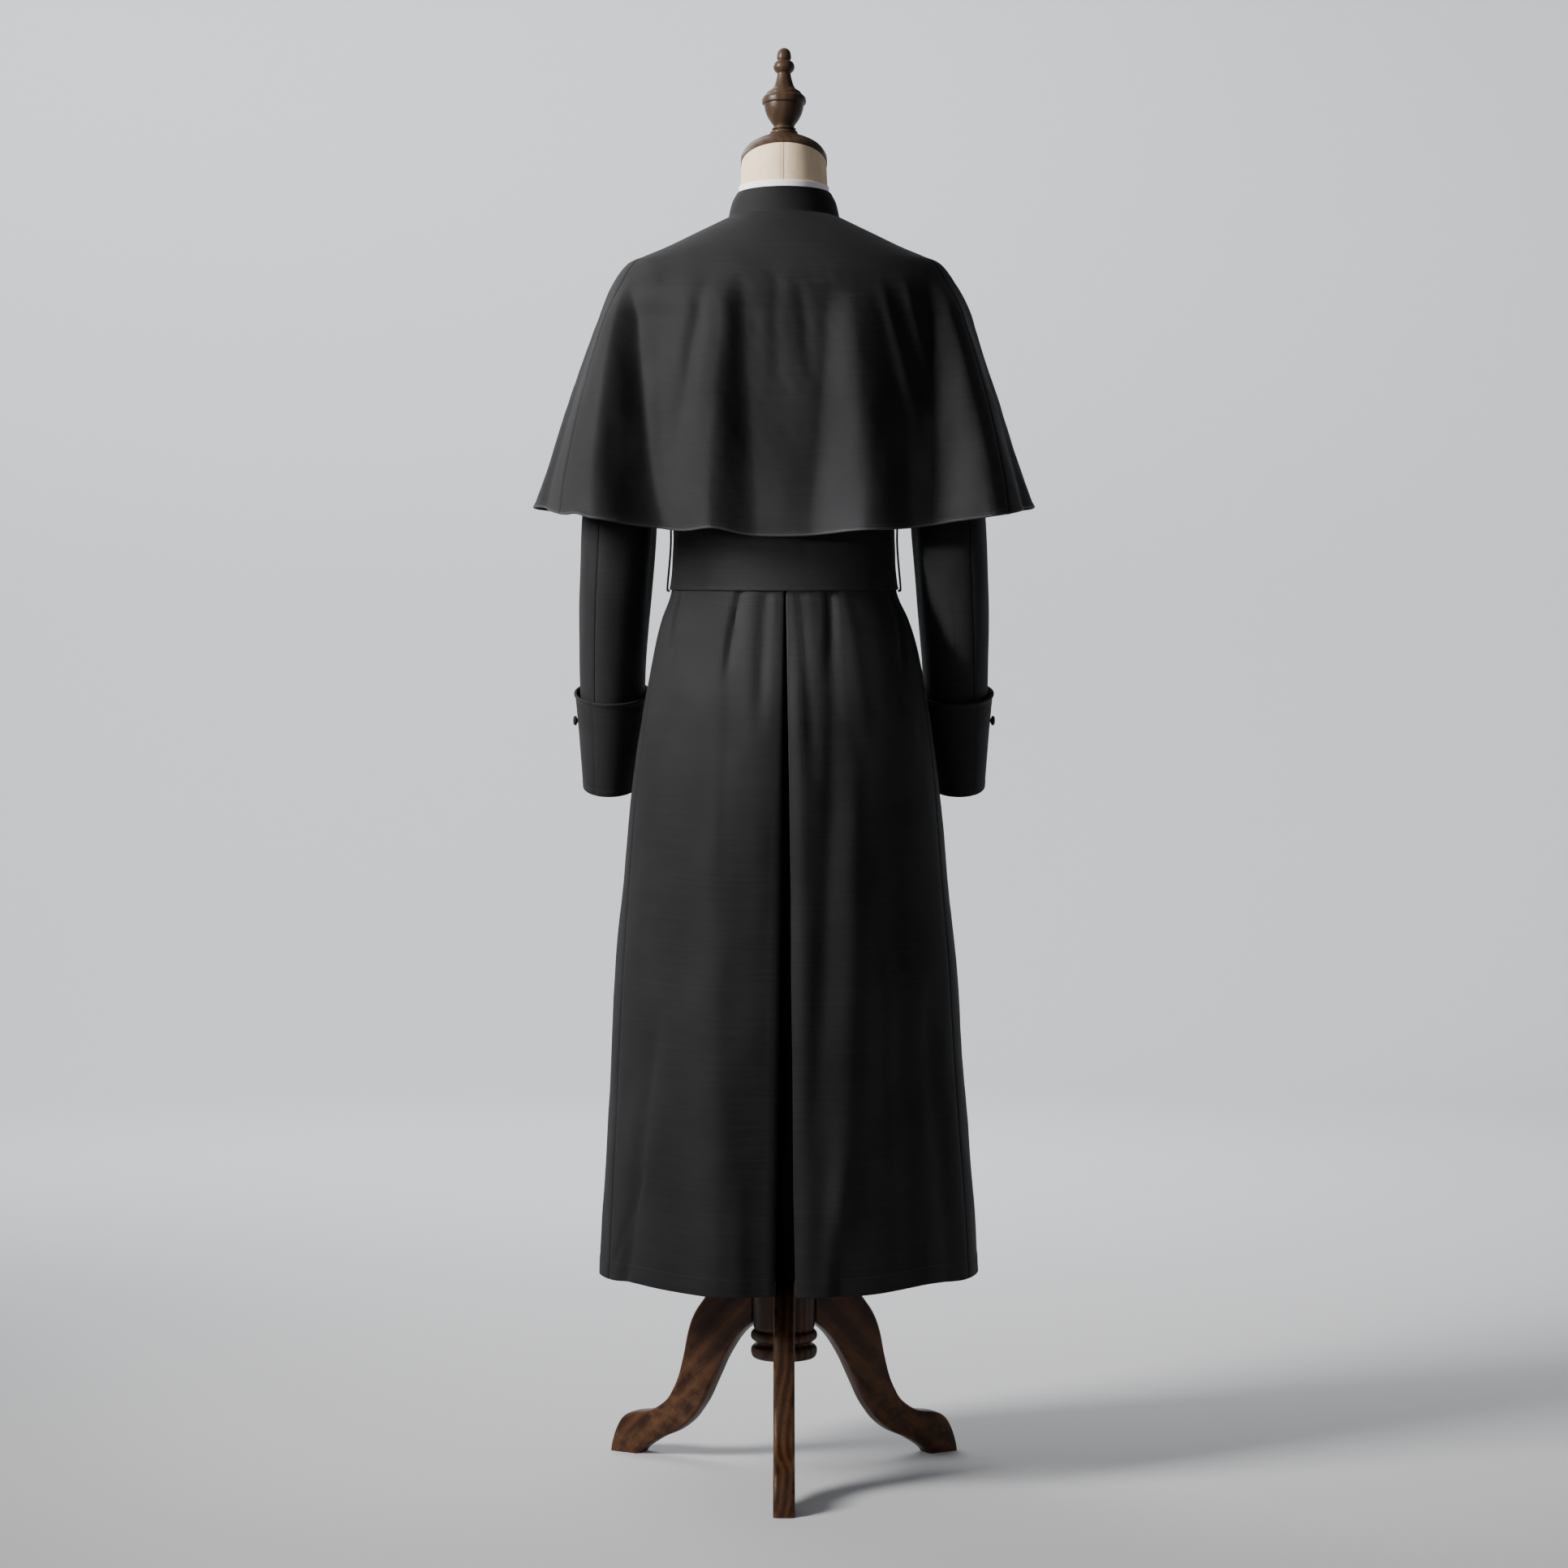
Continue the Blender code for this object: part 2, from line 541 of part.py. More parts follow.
def turned(name, profile, segments, finish_name, parent):
    """A solid of revolution: its profile is spun round the pole and its ends are filled."""
    work = bmesh.new()
    verts = [work.verts.new((turn.radius, 0.0, turn.height)) for turn in profile]
    edges = [work.edges.new(pair) for pair in zip(verts, verts[1:])]
    bmesh.ops.spin(work, geom=verts + edges, axis=(0, 0, 1), cent=(0, 0, 0),
                   steps=segments, angle=math.tau, use_merge=True)
    bmesh.ops.remove_doubles(work, verts=work.verts, dist=0.00001)
    bmesh.ops.holes_fill(work, edges=[edge for edge in work.edges if edge.is_boundary])
    bmesh.ops.recalc_face_normals(work, faces=work.faces)
    return add_bmesh(name, work, finish_name, parent)


# ---- body panels ----

def edge_angle(angle, station, gap):
    """An edge's angle moved along its ring by a gap in metres."""
    speed = (body_plain(angle + 0.5, station) - body_plain(angle - 0.5, station)).length
    return angle + gap / speed


def side_angle(height):
    """The back panel's outer edge: side seam, then armhole, then shoulder seam."""
    if height <= ARMPIT:
        return at_height(SIDE_SEAM, height).angle
    if height >= SHOULDER_TIP:
        return 90.0
    part = (height - ARMPIT) / (SHOULDER_TIP - ARMPIT)
    return 90.0 - ARM_SWEEP * math.sqrt(max(0.0, 1 - (2 * part - 1) ** 2))


def centre_angle(offset, station):
    """The angle at the centre back where the ring passes an offset in X."""
    row = along(BODY, station)
    side = row.left if offset > 0 else row.right
    return math.degrees(math.asin(offset / side))


def panel_heights():
    """Heights of the panels' rings, with the armhole's corners among them."""
    skirt = [HEM, UNDERLAY_HEM, 0.370, 0.490, 0.620, 0.760, 0.892, 0.986, 1.060, 1.110, WAIST,
             UNDERLAY_TOP, 1.270, 1.360]
    corners = [ARMPIT + (SHOULDER_TIP - ARMPIT) * (1 - math.cos(math.radians(turn))) / 2
               for turn in range(0, 181, int(ARM_STEP))]
    return skirt + corners + [1.588, 1.607, NECKLINE]


def seam_room(height):
    """Half the room between two panels, more where the shoulder tip turns sharply."""
    turn = max(0.0, 1 - abs(height - SHOULDER_TIP) / 0.030)
    return SEAM_GAP / 2 + FLAT_TURN * (0.5 + 2.5 * turn)


def spaced(start, end, fractions):
    return [start + (end - start) * part for part in fractions]


def back_panel(name, sign, parent):
    """One back panel; its centre edge turns in toward the pleat's underlay."""
    columns = [i / 10 for i in range(10, 0, -1)]
    rows = []
    for height in panel_heights():
        station = body_station(height)
        pleat = at_height(PLEAT, height)
        offset = (pleat.left if sign > 0 else pleat.right) + sign * CLOTH / 2
        fold = centre_angle(offset, station)
        side = edge_angle(sign * side_angle(height), station, -sign * seam_room(height))
        corner = body_plain(fold, station)
        inward = Vector((0.0, -1.0, 0.0))
        roll = min(ROLL_SHARE * pleat.depth, ROLL_MOST) if sign > 0 else CRISP_ROLL
        start = edge_angle(fold, station, sign * roll)
        row = [body(angle, station) for angle in spaced(start, side, columns)]
        row.append(body(start, station))
        if sign > 0:
            away = corner + Vector((roll, 0.0, 0.0)) + inward * roll
            turn = math.radians(45)
            row.append(away + Vector((-math.sin(turn), math.cos(turn), 0.0)) * roll)
            row.append(corner + inward * roll)
        else:
            row.append(corner + inward * CRISP_STEP)
        row.append(corner + inward * pleat.depth)
        rows.append(row)
    return cloth(name, rows, CLOTH, parent)


def pleat_underlay(parent):
    """The strip behind the pleat, whose edges reach past both turned-in edges."""
    heights = [height for height in panel_heights() if UNDERLAY_HEM <= height <= UNDERLAY_TOP]
    rows = []
    for height in heights:
        station = body_station(height)
        pleat = at_height(PLEAT, height)
        low = centre_angle(-pleat.reach, station)
        high = centre_angle(pleat.reach, station)
        inward = Vector((0.0, -(pleat.depth + SEAM_GAP + CLOTH / 2), 0.0))
        rows.append([body_plain(angle, station) + inward
                     for angle in spaced(low, high, [0.0, 0.35, 0.65, 1.0])])
    return cloth("back_pleat", rows, CLOTH, parent)


def front_panel(name, sign, parent):
    """One front; the left lies plain and the right steps under it at the centre."""
    rows = []
    for height in panel_heights():
        station = body_station(height)
        row_size = along(BODY, station)
        seam = side_angle(height)
        if ARMPIT < height < SHOULDER_TIP:
            seam = 180.0 - seam
        side = edge_angle(sign * seam, station, sign * seam_room(height))
        near = math.degrees(math.asin(LAP_REACH / row_size.left))
        past = math.degrees(math.asin(LAP / row_size.left))
        angles = spaced(side, sign * (180.0 - near), [i / 7 for i in range(8)])
        angles += spaced(sign * (180.0 - near), sign * (180.0 + past), [0.25, 0.6, 1.0])
        row = []
        for angle in angles:
            under = 0.0
            if sign < 0 and abs(angle) > 100:
                under = smooth_step((body(angle, station).x + LAP_REACH) / LAP_RUN)
            row.append(lifted(body, angle, station, -LAP_STEP * under))
        rows.append(row)
    return cloth(name, rows, CLOTH, parent)


# ---- sleeves and cuffs ----

def mirrored(point, sign):
    return Vector((point.x * sign, point.y, point.z))


def sleeve_piece(name, sign, start, end, parent):
    """A sleeve piece between two seams, from the armhole to the wrist."""
    stations = [0.0, 0.5, 1.0, 1.5, 2.0, 3.0, 4.0, 5.5, 7.0, 8.5, SLEEVE_END]
    gap = math.degrees((SEAM_GAP / 2 + FLAT_TURN) / SLEEVE[4].depth)
    count = round((end - start) / SLEEVE_STEP)
    angles = spaced(start, end, [i / count for i in range(count + 1)])
    angles[0] += gap
    angles[-1] -= gap
    rows = [[mirrored(sleeve(angle, station), sign) for angle in angles] for station in stations]
    return cloth(name, rows, CLOTH, parent)


def at_cuff(station):
    """The cuff's lift above the sleeve at a station."""
    for high, low in zip(CUFF, CUFF[1:]):
        if station <= low.station:
            part = (station - high.station) / (low.station - high.station)
            return high.lift + (low.lift - high.lift) * part
    return CUFF[-1].lift


def cuff(name, sign, parent):
    """A turned-back cuff that stands off the sleeve at its upper edge."""
    rows = []
    for level in CUFF:
        row = []
        for i in range(int(360 / SLEEVE_STEP)):
            point = lifted(sleeve, i * SLEEVE_STEP, level.station, level.lift)
            row.append(mirrored(point, sign))
        rows.append(row)
    return cloth(name, rows, CUFF_CLOTH, parent, closed=True)


def button(name, point, normal, parent):
    """A covered button, a flattened ball with its axis on the cloth's normal."""
    work = bmesh.new()
    bmesh.ops.create_uvsphere(work, u_segments=8, v_segments=4, radius=BUTTON_RADIUS)
    bmesh.ops.scale(work, vec=(1, 1, BUTTON_RISE / BUTTON_RADIUS), verts=work.verts)
    item = add_bmesh(name, work, "black wool", parent, sharp=60.0)
    item.location = point + normal * BUTTON_RISE
    item.rotation_euler = normal.to_track_quat("Z", "Y").to_euler()
    return item


def front_buttons(parent):
    heights = [FIRST_BUTTON - i * BUTTON_PITCH
               for i in range(int((FIRST_BUTTON - LAST_BUTTON) / BUTTON_PITCH) + 1)]
    shown = [height for height in heights
             if not BAND_BOTTOM - BELOW_BAND < height < BAND_TOP + ABOVE_BAND]
    for number, height in enumerate(shown, start=1):
        station = body_station(height + along(BODY, body_station(height)).drop)
        point = lifted(body, 180.0, station, CLOTH / 2 + SEAM_GAP)
        normal = (lifted(body, 180.0, station, 0.01) - lifted(body, 180.0, station, 0.0))
        button(f"front_button_{number:02d}", point, normal.normalized(), parent)


def cuff_button(name, sign, parent):
    lift = at_cuff(CUFF_BUTTON_STATION) + CUFF_CLOTH / 2 + SEAM_GAP
    point = lifted(sleeve, 0.0, CUFF_BUTTON_STATION, lift)
    normal = point - lifted(sleeve, 0.0, CUFF_BUTTON_STATION, 0.0)
    button(name, mirrored(point, sign), mirrored(normal.normalized(), sign), parent)


# ---- band, cape and collars ----

def waist_band(parent):
    """The wide band round the waist, one turn of folded cloth."""
    lift = CLOTH + SEAM_GAP + SAG
    rows = []
    for share in (0.0, (UNDERLAY_TOP - BAND_BOTTOM) / (BAND_TOP - BAND_BOTTOM), 1.0):
        row = []
        for i in range(40):
            angle = i * 9.0
            dip = BAND_BACK_SAG * max(0.0, math.cos(math.radians(angle))) if share == 0.0 else 0.0
            height = BAND_BOTTOM + (BAND_TOP - BAND_BOTTOM) * share - dip
            row.append(lifted(body_plain, angle, body_station(height), lift))
        rows.append(row)
    return cloth("band", rows, CLOTH, parent, closed=True)


def band_loop(name, sign, parent):
    """A thread loop from below the band to above it, clear of the band between."""
    def at_side(height):
        return lifted(body_plain, sign * 90.0, body_station(height), 0.0)

    low, high = at_side(BAND_BOTTOM - LOOP_REACH), at_side(BAND_TOP + LOOP_REACH)
    middle = at_side((BAND_BOTTOM + BAND_TOP) / 2)
    out, up = Vector((sign, 0.0, 0.0)), Vector((0.0, 0.0, 1.0))
    seat = CLOTH / 2 + SEAM_GAP + LOOP_THREAD * 1.2
    stand_off = CLOTH * 1.5 + SEAM_GAP + SAG + LOOP_CLEAR
    points = [low + out * seat, low + out * stand_off * 0.8 + up * LOOP_BEND / 4,
              low + out * stand_off + up * LOOP_BEND, middle + out * (stand_off + LOOP_BOW),
              high + out * stand_off - up * LOOP_BEND,
              high + out * stand_off * 0.8 - up * LOOP_BEND / 4, high + out * seat]
    curve = bpy.data.curves.new(name, "CURVE")
    curve.dimensions = "3D"
    curve.bevel_depth = LOOP_THREAD
    curve.bevel_resolution = 1
    curve.use_fill_caps = True
    line = curve.splines.new("POLY")
    line.points.add(len(points) - 1)
    for spot, point in zip(line.points, points):
        spot.co = (*point, 1.0)
    return add_object(name, curve, "black wool", parent)


def cape_seam(part):
    return CAPE_SEAM_TOP + (CAPE_SEAM_HEM - CAPE_SEAM_TOP) * part


def cape_front(part):
    """The angle of the cape's front edge."""
    side = along(CAPE, part * (len(CAPE) - 1)).side_x
    opening = CAPE_OPEN_TOP + (CAPE_OPEN_HEM - CAPE_OPEN_TOP) * part
    return 180.0 - math.degrees(math.asin(opening / side))


def cape_panel(name, start, end, columns, parent):
    """A cape piece between two edges, each an angle that changes down the cape."""
    rows = []
    for part in (0.0, 0.12, 0.25, 0.335, 0.43, 0.56, 0.7, 0.85, 1.0):
        low, high = start(part), end(part)
        angles = spaced(low, high, [i / columns for i in range(columns + 1)])
        rows.append([cape(angle, part) for angle in angles])
    return cloth(name, rows, CAPE_CLOTH, parent)


def cape_pieces(parent):
    def gap(part):
        return math.degrees(SEAM_GAP / 2 / (0.06 + 0.15 * part))

    cape_panel("cape_back", lambda part: gap(part) - cape_seam(part),
               lambda part: cape_seam(part) - gap(part), 34, parent)
    cape_panel("cape_left", lambda part: cape_seam(part) + gap(part), cape_front, 15, parent)
    cape_panel("cape_right", lambda part: -cape_seam(part) - gap(part),
               lambda part: -cape_front(part), 15, parent)


def collars(parent):
    """The black stand collar, open at the front, and the white band inside it."""
    reach = 180.0 - COLLAR_OPEN
    angles = [-reach] + [i * FORM_STEP for i in range(-14, 15)] + [reach]
    rows = [[collar_ring(row, angle) for angle in angles] for row in COLLAR]
    cloth("collar", rows, COLLAR_CLOTH, parent)
    turns = round(360 / FORM_STEP)
    rows = [[collar_ring(row, i * FORM_STEP) for i in range(turns)] for row in COLLAR_WHITE]
    cloth("collar_white", rows, WHITE_CLOTH, parent, "white linen", closed=True)


# ---- dress form and stand ----

def form_torso(parent):
    """The padded torso and neck, a solid that stays inside the cloth."""
    angles = [i * FORM_STEP for i in range(round(360 / FORM_STEP))]
    heights = [FORM_BOTTOM, 0.915, 0.970, 1.060, WAIST, 1.210, 1.300, ARMPIT, 1.508, 1.542,
               SHOULDER_TIP, 1.588, 1.607, NECKLINE]
    rows = []
    for height in heights:
        inset = at_height(FORM, height)
        station = body_station(height)
        row = []
        for angle in angles:
            side = abs(math.sin(math.radians(angle))) ** 3
            depth = inset.middle + (inset.side - inset.middle) * side
            point = lifted(body_plain, angle, station, -depth)
            point.z = height if height <= ARMPIT else point.z
            row.append(point)
        rows.append(row)
    for ring in NECK:
        rows.append([collar_ring(ring, angle) for angle in angles])
    rows.append([Vector((NECK_TOP_RADIUS * math.sin(math.radians(angle)),
                         NECK_TOP_RADIUS * math.cos(math.radians(angle)),
                         NECK_TOP + NECK_TILT * math.cos(math.radians(angle))))
                 for angle in angles])
    work = bmesh.new()
    vert_rows = [[work.verts.new(point) for point in row] for row in rows]
    grid_faces(work, vert_rows, closed=True)
    work.faces.new(vert_rows[0])
    work.faces.new(vert_rows[-1])
    bmesh.ops.recalc_face_normals(work, faces=work.faces)
    return add_bmesh("form_torso", work, "natural linen", parent)


def neck_cap(parent):
    """The turned cap, cut off on the slant of the neck's top."""
    item = turned("neck_cap", CAP, 24, "walnut", parent)
    slant = Vector((0.0, -NECK_TILT, NECK_TOP_RADIUS)).normalized()
    seat = Vector((0.0, 0.0, NECK_TOP + SEAM_GAP))
    work = bmesh.new()
    work.from_mesh(item.data)
    geometry = work.verts[:] + work.edges[:] + work.faces[:]
    bmesh.ops.bisect_plane(work, geom=geometry, plane_co=seat, plane_no=slant, clear_inner=True)
    bmesh.ops.holes_fill(work, edges=[edge for edge in work.edges if edge.is_boundary])
    bmesh.ops.recalc_face_normals(work, faces=work.faces)
    work.to_mesh(item.data)
    work.free()
    return item


def pole(parent):
    bottom, top = HUB[-1].height + SEAM_GAP, FORM_BOTTOM - SEAM_GAP
    work = bmesh.new()
    bmesh.ops.create_cone(work, cap_ends=True, segments=20, radius1=POLE_RADIUS,
                          radius2=POLE_RADIUS, depth=top - bottom)
    item = add_bmesh("pole", work, "walnut", parent)
    item.location.z = (bottom + top) / 2
    return item


def leg(name, number, parent):
    """A cabriole leg: its outline is extruded, rounded and turned about the pole."""
    outline = LEG_TOP_EDGE + [FOOT_TIP] + LEG_UNDER_EDGE
    work = bmesh.new()
    face = work.faces.new([work.verts.new((0.0, turn.radius, turn.height)) for turn in outline])
    extruded = bmesh.ops.extrude_face_region(work, geom=[face])
    moved = [piece for piece in extruded["geom"] if isinstance(piece, bmesh.types.BMVert)]
    bmesh.ops.translate(work, vec=(LEG_THICK, 0.0, 0.0), verts=moved)
    bmesh.ops.translate(work, vec=(-LEG_THICK / 2, 0.0, 0.0), verts=work.verts)
    bmesh.ops.recalc_face_normals(work, faces=work.faces)
    item = add_bmesh(name, work, "walnut", parent)
    item.rotation_euler.z = number * math.tau / LEG_COUNT
    bevel = item.modifiers.new("Rounded edges", "BEVEL")
    bevel.width = LEG_ROUND
    bevel.segments = 2
    bevel.limit_method = "ANGLE"
    bevel.angle_limit = math.radians(60)      # the outline's own corners stay as drawn
    return item


def clear_scene():
    for item in list(bpy.data.objects):
        bpy.data.objects.remove(item, do_unlink=True)


def main():
    clear_scene()
    stand = bpy.data.objects.new("stand_axis", None)
    bpy.context.scene.collection.objects.link(stand)
    stand.location.y = POLE_Y

    back_panel("back_left", 1, stand)
    back_panel("back_right", -1, stand)
    pleat_underlay(stand)
    front_panel("front_left", 1, stand)
    front_panel("front_right", -1, stand)
    for side, sign in (("left", 1), ("right", -1)):
        sleeve_piece(f"sleeve_{side}_upper", sign, FRONT_SLEEVE_SEAM - 360.0,
                     BACK_SLEEVE_SEAM, stand)
        sleeve_piece(f"sleeve_{side}_under", sign, BACK_SLEEVE_SEAM, FRONT_SLEEVE_SEAM, stand)
        cuff(f"cuff_{side}", sign, stand)
        cuff_button(f"cuff_button_{side}", sign, stand)
        band_loop(f"band_loop_{side}", sign, stand)
    waist_band(stand)
    cape_pieces(stand)
    collars(stand)
    front_buttons(stand)

    form_torso(stand)
    neck_cap(stand)
    turned("finial", FINIAL, 16, "walnut", stand)
    pole(stand)
    turned("hub", HUB, 20, "walnut", stand)
    for number, name in enumerate(("leg_back", "leg_right", "leg_left")):
        leg(name, number, stand)


main()
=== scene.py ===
import json
import math
import re
from types import SimpleNamespace

import bmesh
import bpy
import numpy as np
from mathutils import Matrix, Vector

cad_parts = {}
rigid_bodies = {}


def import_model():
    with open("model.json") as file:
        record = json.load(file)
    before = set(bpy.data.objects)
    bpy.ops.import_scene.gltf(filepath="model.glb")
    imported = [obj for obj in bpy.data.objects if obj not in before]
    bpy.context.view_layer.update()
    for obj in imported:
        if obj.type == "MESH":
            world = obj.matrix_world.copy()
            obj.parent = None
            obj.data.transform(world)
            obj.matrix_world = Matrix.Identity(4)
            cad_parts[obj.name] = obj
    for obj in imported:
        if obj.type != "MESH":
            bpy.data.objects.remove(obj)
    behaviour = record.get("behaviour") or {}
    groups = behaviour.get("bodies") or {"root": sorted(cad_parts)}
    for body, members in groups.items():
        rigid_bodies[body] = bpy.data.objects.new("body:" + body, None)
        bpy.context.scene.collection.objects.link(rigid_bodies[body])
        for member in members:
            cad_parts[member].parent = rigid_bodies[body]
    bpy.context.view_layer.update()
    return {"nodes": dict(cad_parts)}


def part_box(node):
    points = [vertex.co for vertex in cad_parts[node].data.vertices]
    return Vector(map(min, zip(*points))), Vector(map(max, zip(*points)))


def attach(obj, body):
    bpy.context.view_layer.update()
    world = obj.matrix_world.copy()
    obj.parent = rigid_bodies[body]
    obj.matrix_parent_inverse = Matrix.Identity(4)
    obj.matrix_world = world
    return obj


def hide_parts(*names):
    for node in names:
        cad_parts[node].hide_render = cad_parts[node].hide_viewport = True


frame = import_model()
print("frame loaded,", len(frame["nodes"]), "nodes")

# The garment faces -Y. Angles start at the centre back and grow toward the wearer's left (+X).
# Every cloth is made from the middle of its wall, in metres from the stand's pole.
common = {
    "poleY": -0.0307, "seamGap": 0.0003,
    "seamHalf": 0.00006,  # half the room left in a closed seam
    "edgeRound": 0.0012,  # a cloth's edge thins out over this much
    "thinEdge": 0.40,  # share of the wall left at the very edge
    "seamDip": 0.0009,  # how far a sewn edge sinks
    "seamReach": 0.0026, "lipReach": 0.004,
    "calm": 0.030,  # how far from a seam the cloth's unevenness sets in
    "foldAngle": 62.0,  # a cloth's faces that meet at more than this keep a sharp edge
}
sides = {1: "Left", -1: "Right"}


class Table:
    # Rows of sizes, read on a smooth curve through them. Columns after a bar are in millimetres.
    def __init__(self, columns, rows):
        metres, _, small = columns.partition("|")
        self.columns = (metres + small).split()
        self.rows = np.array(rows, float)
        self.rows[:, len(metres.split()):] /= 1000
        self.last = len(rows) - 1

    def at(self, station):
        station = np.clip(np.asarray(station, float), 0.0, self.last)
        low = np.minimum(station.astype(int), self.last - 1)
        part = (station - low)[..., None]
        rest = 1 - part
        start = self.rows[low]
        end = self.rows[low + 1]
        slopeIn = (end - self.rows[np.maximum(low - 1, 0)]) / 2
        slopeOut = (self.rows[np.minimum(low + 2, self.last)] - start) / 2
        values = start * rest ** 2 * (1 + 2 * part) + end * part ** 2 * (3 - 2 * part)
        values = values + slopeIn * part * rest ** 2 - slopeOut * part ** 2 * rest
        return SimpleNamespace(**dict(zip(self.columns, np.moveaxis(values, -1, 0))))

    def straight(self, value):
        # the columns read straight between the rows, at a value of the first
        read = [np.interp(value, self.rows[:, 0], column) for column in self.rows.T]
        return SimpleNamespace(**dict(zip(self.columns, read)))


def smoothStep(value):
    value = np.clip(value, 0.0, 1.0)
    return value * value * (3 - 2 * value)


def between(run, soft):
    # 1 along a run from 0 to 1, soft at both ends
    return smoothStep(run / soft) * smoothStep((1 - run) / soft)


def angleBetween(angle, other):
    return (angle - other + 180.0) % 360.0 - 180.0


def bell(angle, centre, less, more=None):
    # 1 at a centre, with a width toward smaller angles and one toward larger ones
    offset = angleBetween(angle, centre)
    return np.exp(-(offset / np.where(offset < 0, less, less if more is None else more)) ** 2)


def bells(table, angle):
    return sum(rise * bell(angle, centre, width) for centre, width, rise in table.rows)


def stack(x, y, z):
    return np.stack(np.broadcast_arrays(x, y, z), -1)


def unit(vectors):
    return vectors / np.maximum(np.linalg.norm(vectors, axis=-1, keepdims=True), 1e-12)


def turnAngles(columns):
    return np.arange(columns)[None] * 360.0 / columns


def spaced(width, count):
    # positions over a width, close together at both edges
    near = np.array([0.0, 0.0005, 0.0013, 0.0026, 0.0048])
    width = np.asarray(width, float)[..., None]
    middle = near[-1] + (width - 2 * near[-1]) * np.linspace(0, 1, count)[1:-1]
    low = np.broadcast_to(near, width.shape[:-1] + near.shape)
    return np.concatenate([low, middle, width - near[::-1]], -1)


def spread(low, high, width, count):
    # values from low to high, spaced as positions over a width
    low, high, width = (np.asarray(value, float)[..., None] for value in (low, high, width))
    return low + (high - low) * spaced(width[..., 0], count) / width


def ripple(u, v, seed, height, size):
    # a slow unevenness of the cloth, the same on each run
    random = np.random.default_rng(seed)
    total = 0.0
    for _ in range(7):
        turn = random.uniform(0, math.tau)
        long = size * random.uniform(0.7, 1.9)
        slant = random.uniform(-0.35, 0.35)
        total = total + np.sin(math.tau * (u + slant * v) / long + turn) \
            * np.sin(math.tau * v / (long * 2.6) + 1.7 * turn)
    return total * height / 3.0


def ringPoint(row, angle, rise=0.0):
    # a point of an oval ring, moved out by rise; drop lowers the ring's front
    turn = np.radians(angle)
    sine, cosine = np.sin(turn), np.cos(turn)
    side = np.where(sine > 0, row.left, getattr(row, "right", row.left))
    depth = np.where(cosine > 0, row.back, row.front)
    length = np.hypot(sine / side, cosine / depth)
    return stack(side * sine + sine / side / length * rise,
                 depth * cosine + cosine / depth / length * rise,
                 row.height - row.drop * np.maximum(0.0, -cosine) ** 1.5)


def runLengths(points, axis):
    # how far each point lies along its row or column
    steps = np.linalg.norm(np.diff(points, axis=axis), axis=-1)
    start = np.zeros_like(np.take(steps, [0], axis=axis))
    return np.concatenate([start, np.cumsum(steps, axis=axis)], axis=axis)


def outward(points, closed=False):
    # unit normals of a grid with rows going up and columns going round toward +X
    if closed:
        full = np.concatenate([points[:, -1:], points, points[:, :1]], 1)
        across = np.gradient(full, axis=1)[:, 1:-1]
    else:
        across = np.gradient(points, axis=1)
    return unit(np.cross(np.gradient(points, axis=0), across))


# Cloth

def chooseOnly(item):
    bpy.ops.object.select_all(action="DESELECT")
    if item:
        item.select_set(True)
        bpy.context.view_layer.objects.active = item


def nodeName(name):
    # frontButton01 stands for the node front_button_01
    return re.sub("([A-Z]|[0-9]+)", r"_\1", name).lower()


def settle(item, material, node=None):
    # a finished piece's material, body and node
    item.data.materials.clear()
    item.data.materials.append(material)
    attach(item, "root")
    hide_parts(node or nodeName(item.name))


def gridMesh(name, points, u, v, closed=False, capped=False):
    # a mesh from a grid of points; capped closes both ends of a tube
    rows, columns = points.shape[:2]
    index = np.arange(rows * columns).reshape(rows, columns)
    ends = [index[0, ::-1].tolist(), index[-1].tolist()] if capped else []
    if closed:
        index = np.concatenate([index, index[:, :1]], 1)
    corners = [index[:-1, :-1], index[1:, :-1], index[1:, 1:], index[:-1, 1:]]
    faces = np.stack(corners, -1).reshape(-1, 4).tolist()
    mesh = bpy.data.meshes.new(name)
    placed = points.reshape(-1, 3) + np.array([0.0, common["poleY"], 0.0])
    mesh.from_pydata(placed.tolist(), [], faces + ends)
    uv = np.stack([u, v], -1)
    loops = np.stack([uv[:-1, :-1], uv[1:, :-1], uv[1:, 1:], uv[:-1, 1:]], 2).reshape(-1)
    spare = np.zeros(4 * columns if capped else 0)
    mesh.uv_layers.new(name="cloth").data.foreach_set("uv", np.concatenate([loops, spare]))
    item = bpy.data.objects.new(name, mesh)
    bpy.context.scene.collection.objects.link(item)
    return item


def fromSides(u, sewn):
    # the distance to a sewn side edge; an open edge is far off
    left = u if sewn[0] else u + 1.0
    return np.minimum(left, u[:, -1:] - u if sewn[1] else u + 1.0)


def uneven(points, seed, sizes, sewn, loose, lip=0.0):
    # the cloth's unevenness where it hangs loose; its sewn edges stay even and sink a little
    u, v = runLengths(points, 1), runLengths(points, 0)
    rise = sum(ripple(u, v, seed + step, *ripples) for step, *ripples in sizes["ripples"])
    for sew, distance in zip(sewn, (u, u[:, -1:] - u)):
        if sew:
            rise = rise * smoothStep(distance / common["calm"])
    rise = rise * loose + lip * np.exp(-v / common["lipReach"])
    points = points + outward(points) * rise[..., None]
    near = fromSides(runLengths(points, 1), sewn) / common["seamReach"]
    return points - outward(points) * (common["seamDip"] * np.exp(-near ** 2))[..., None]


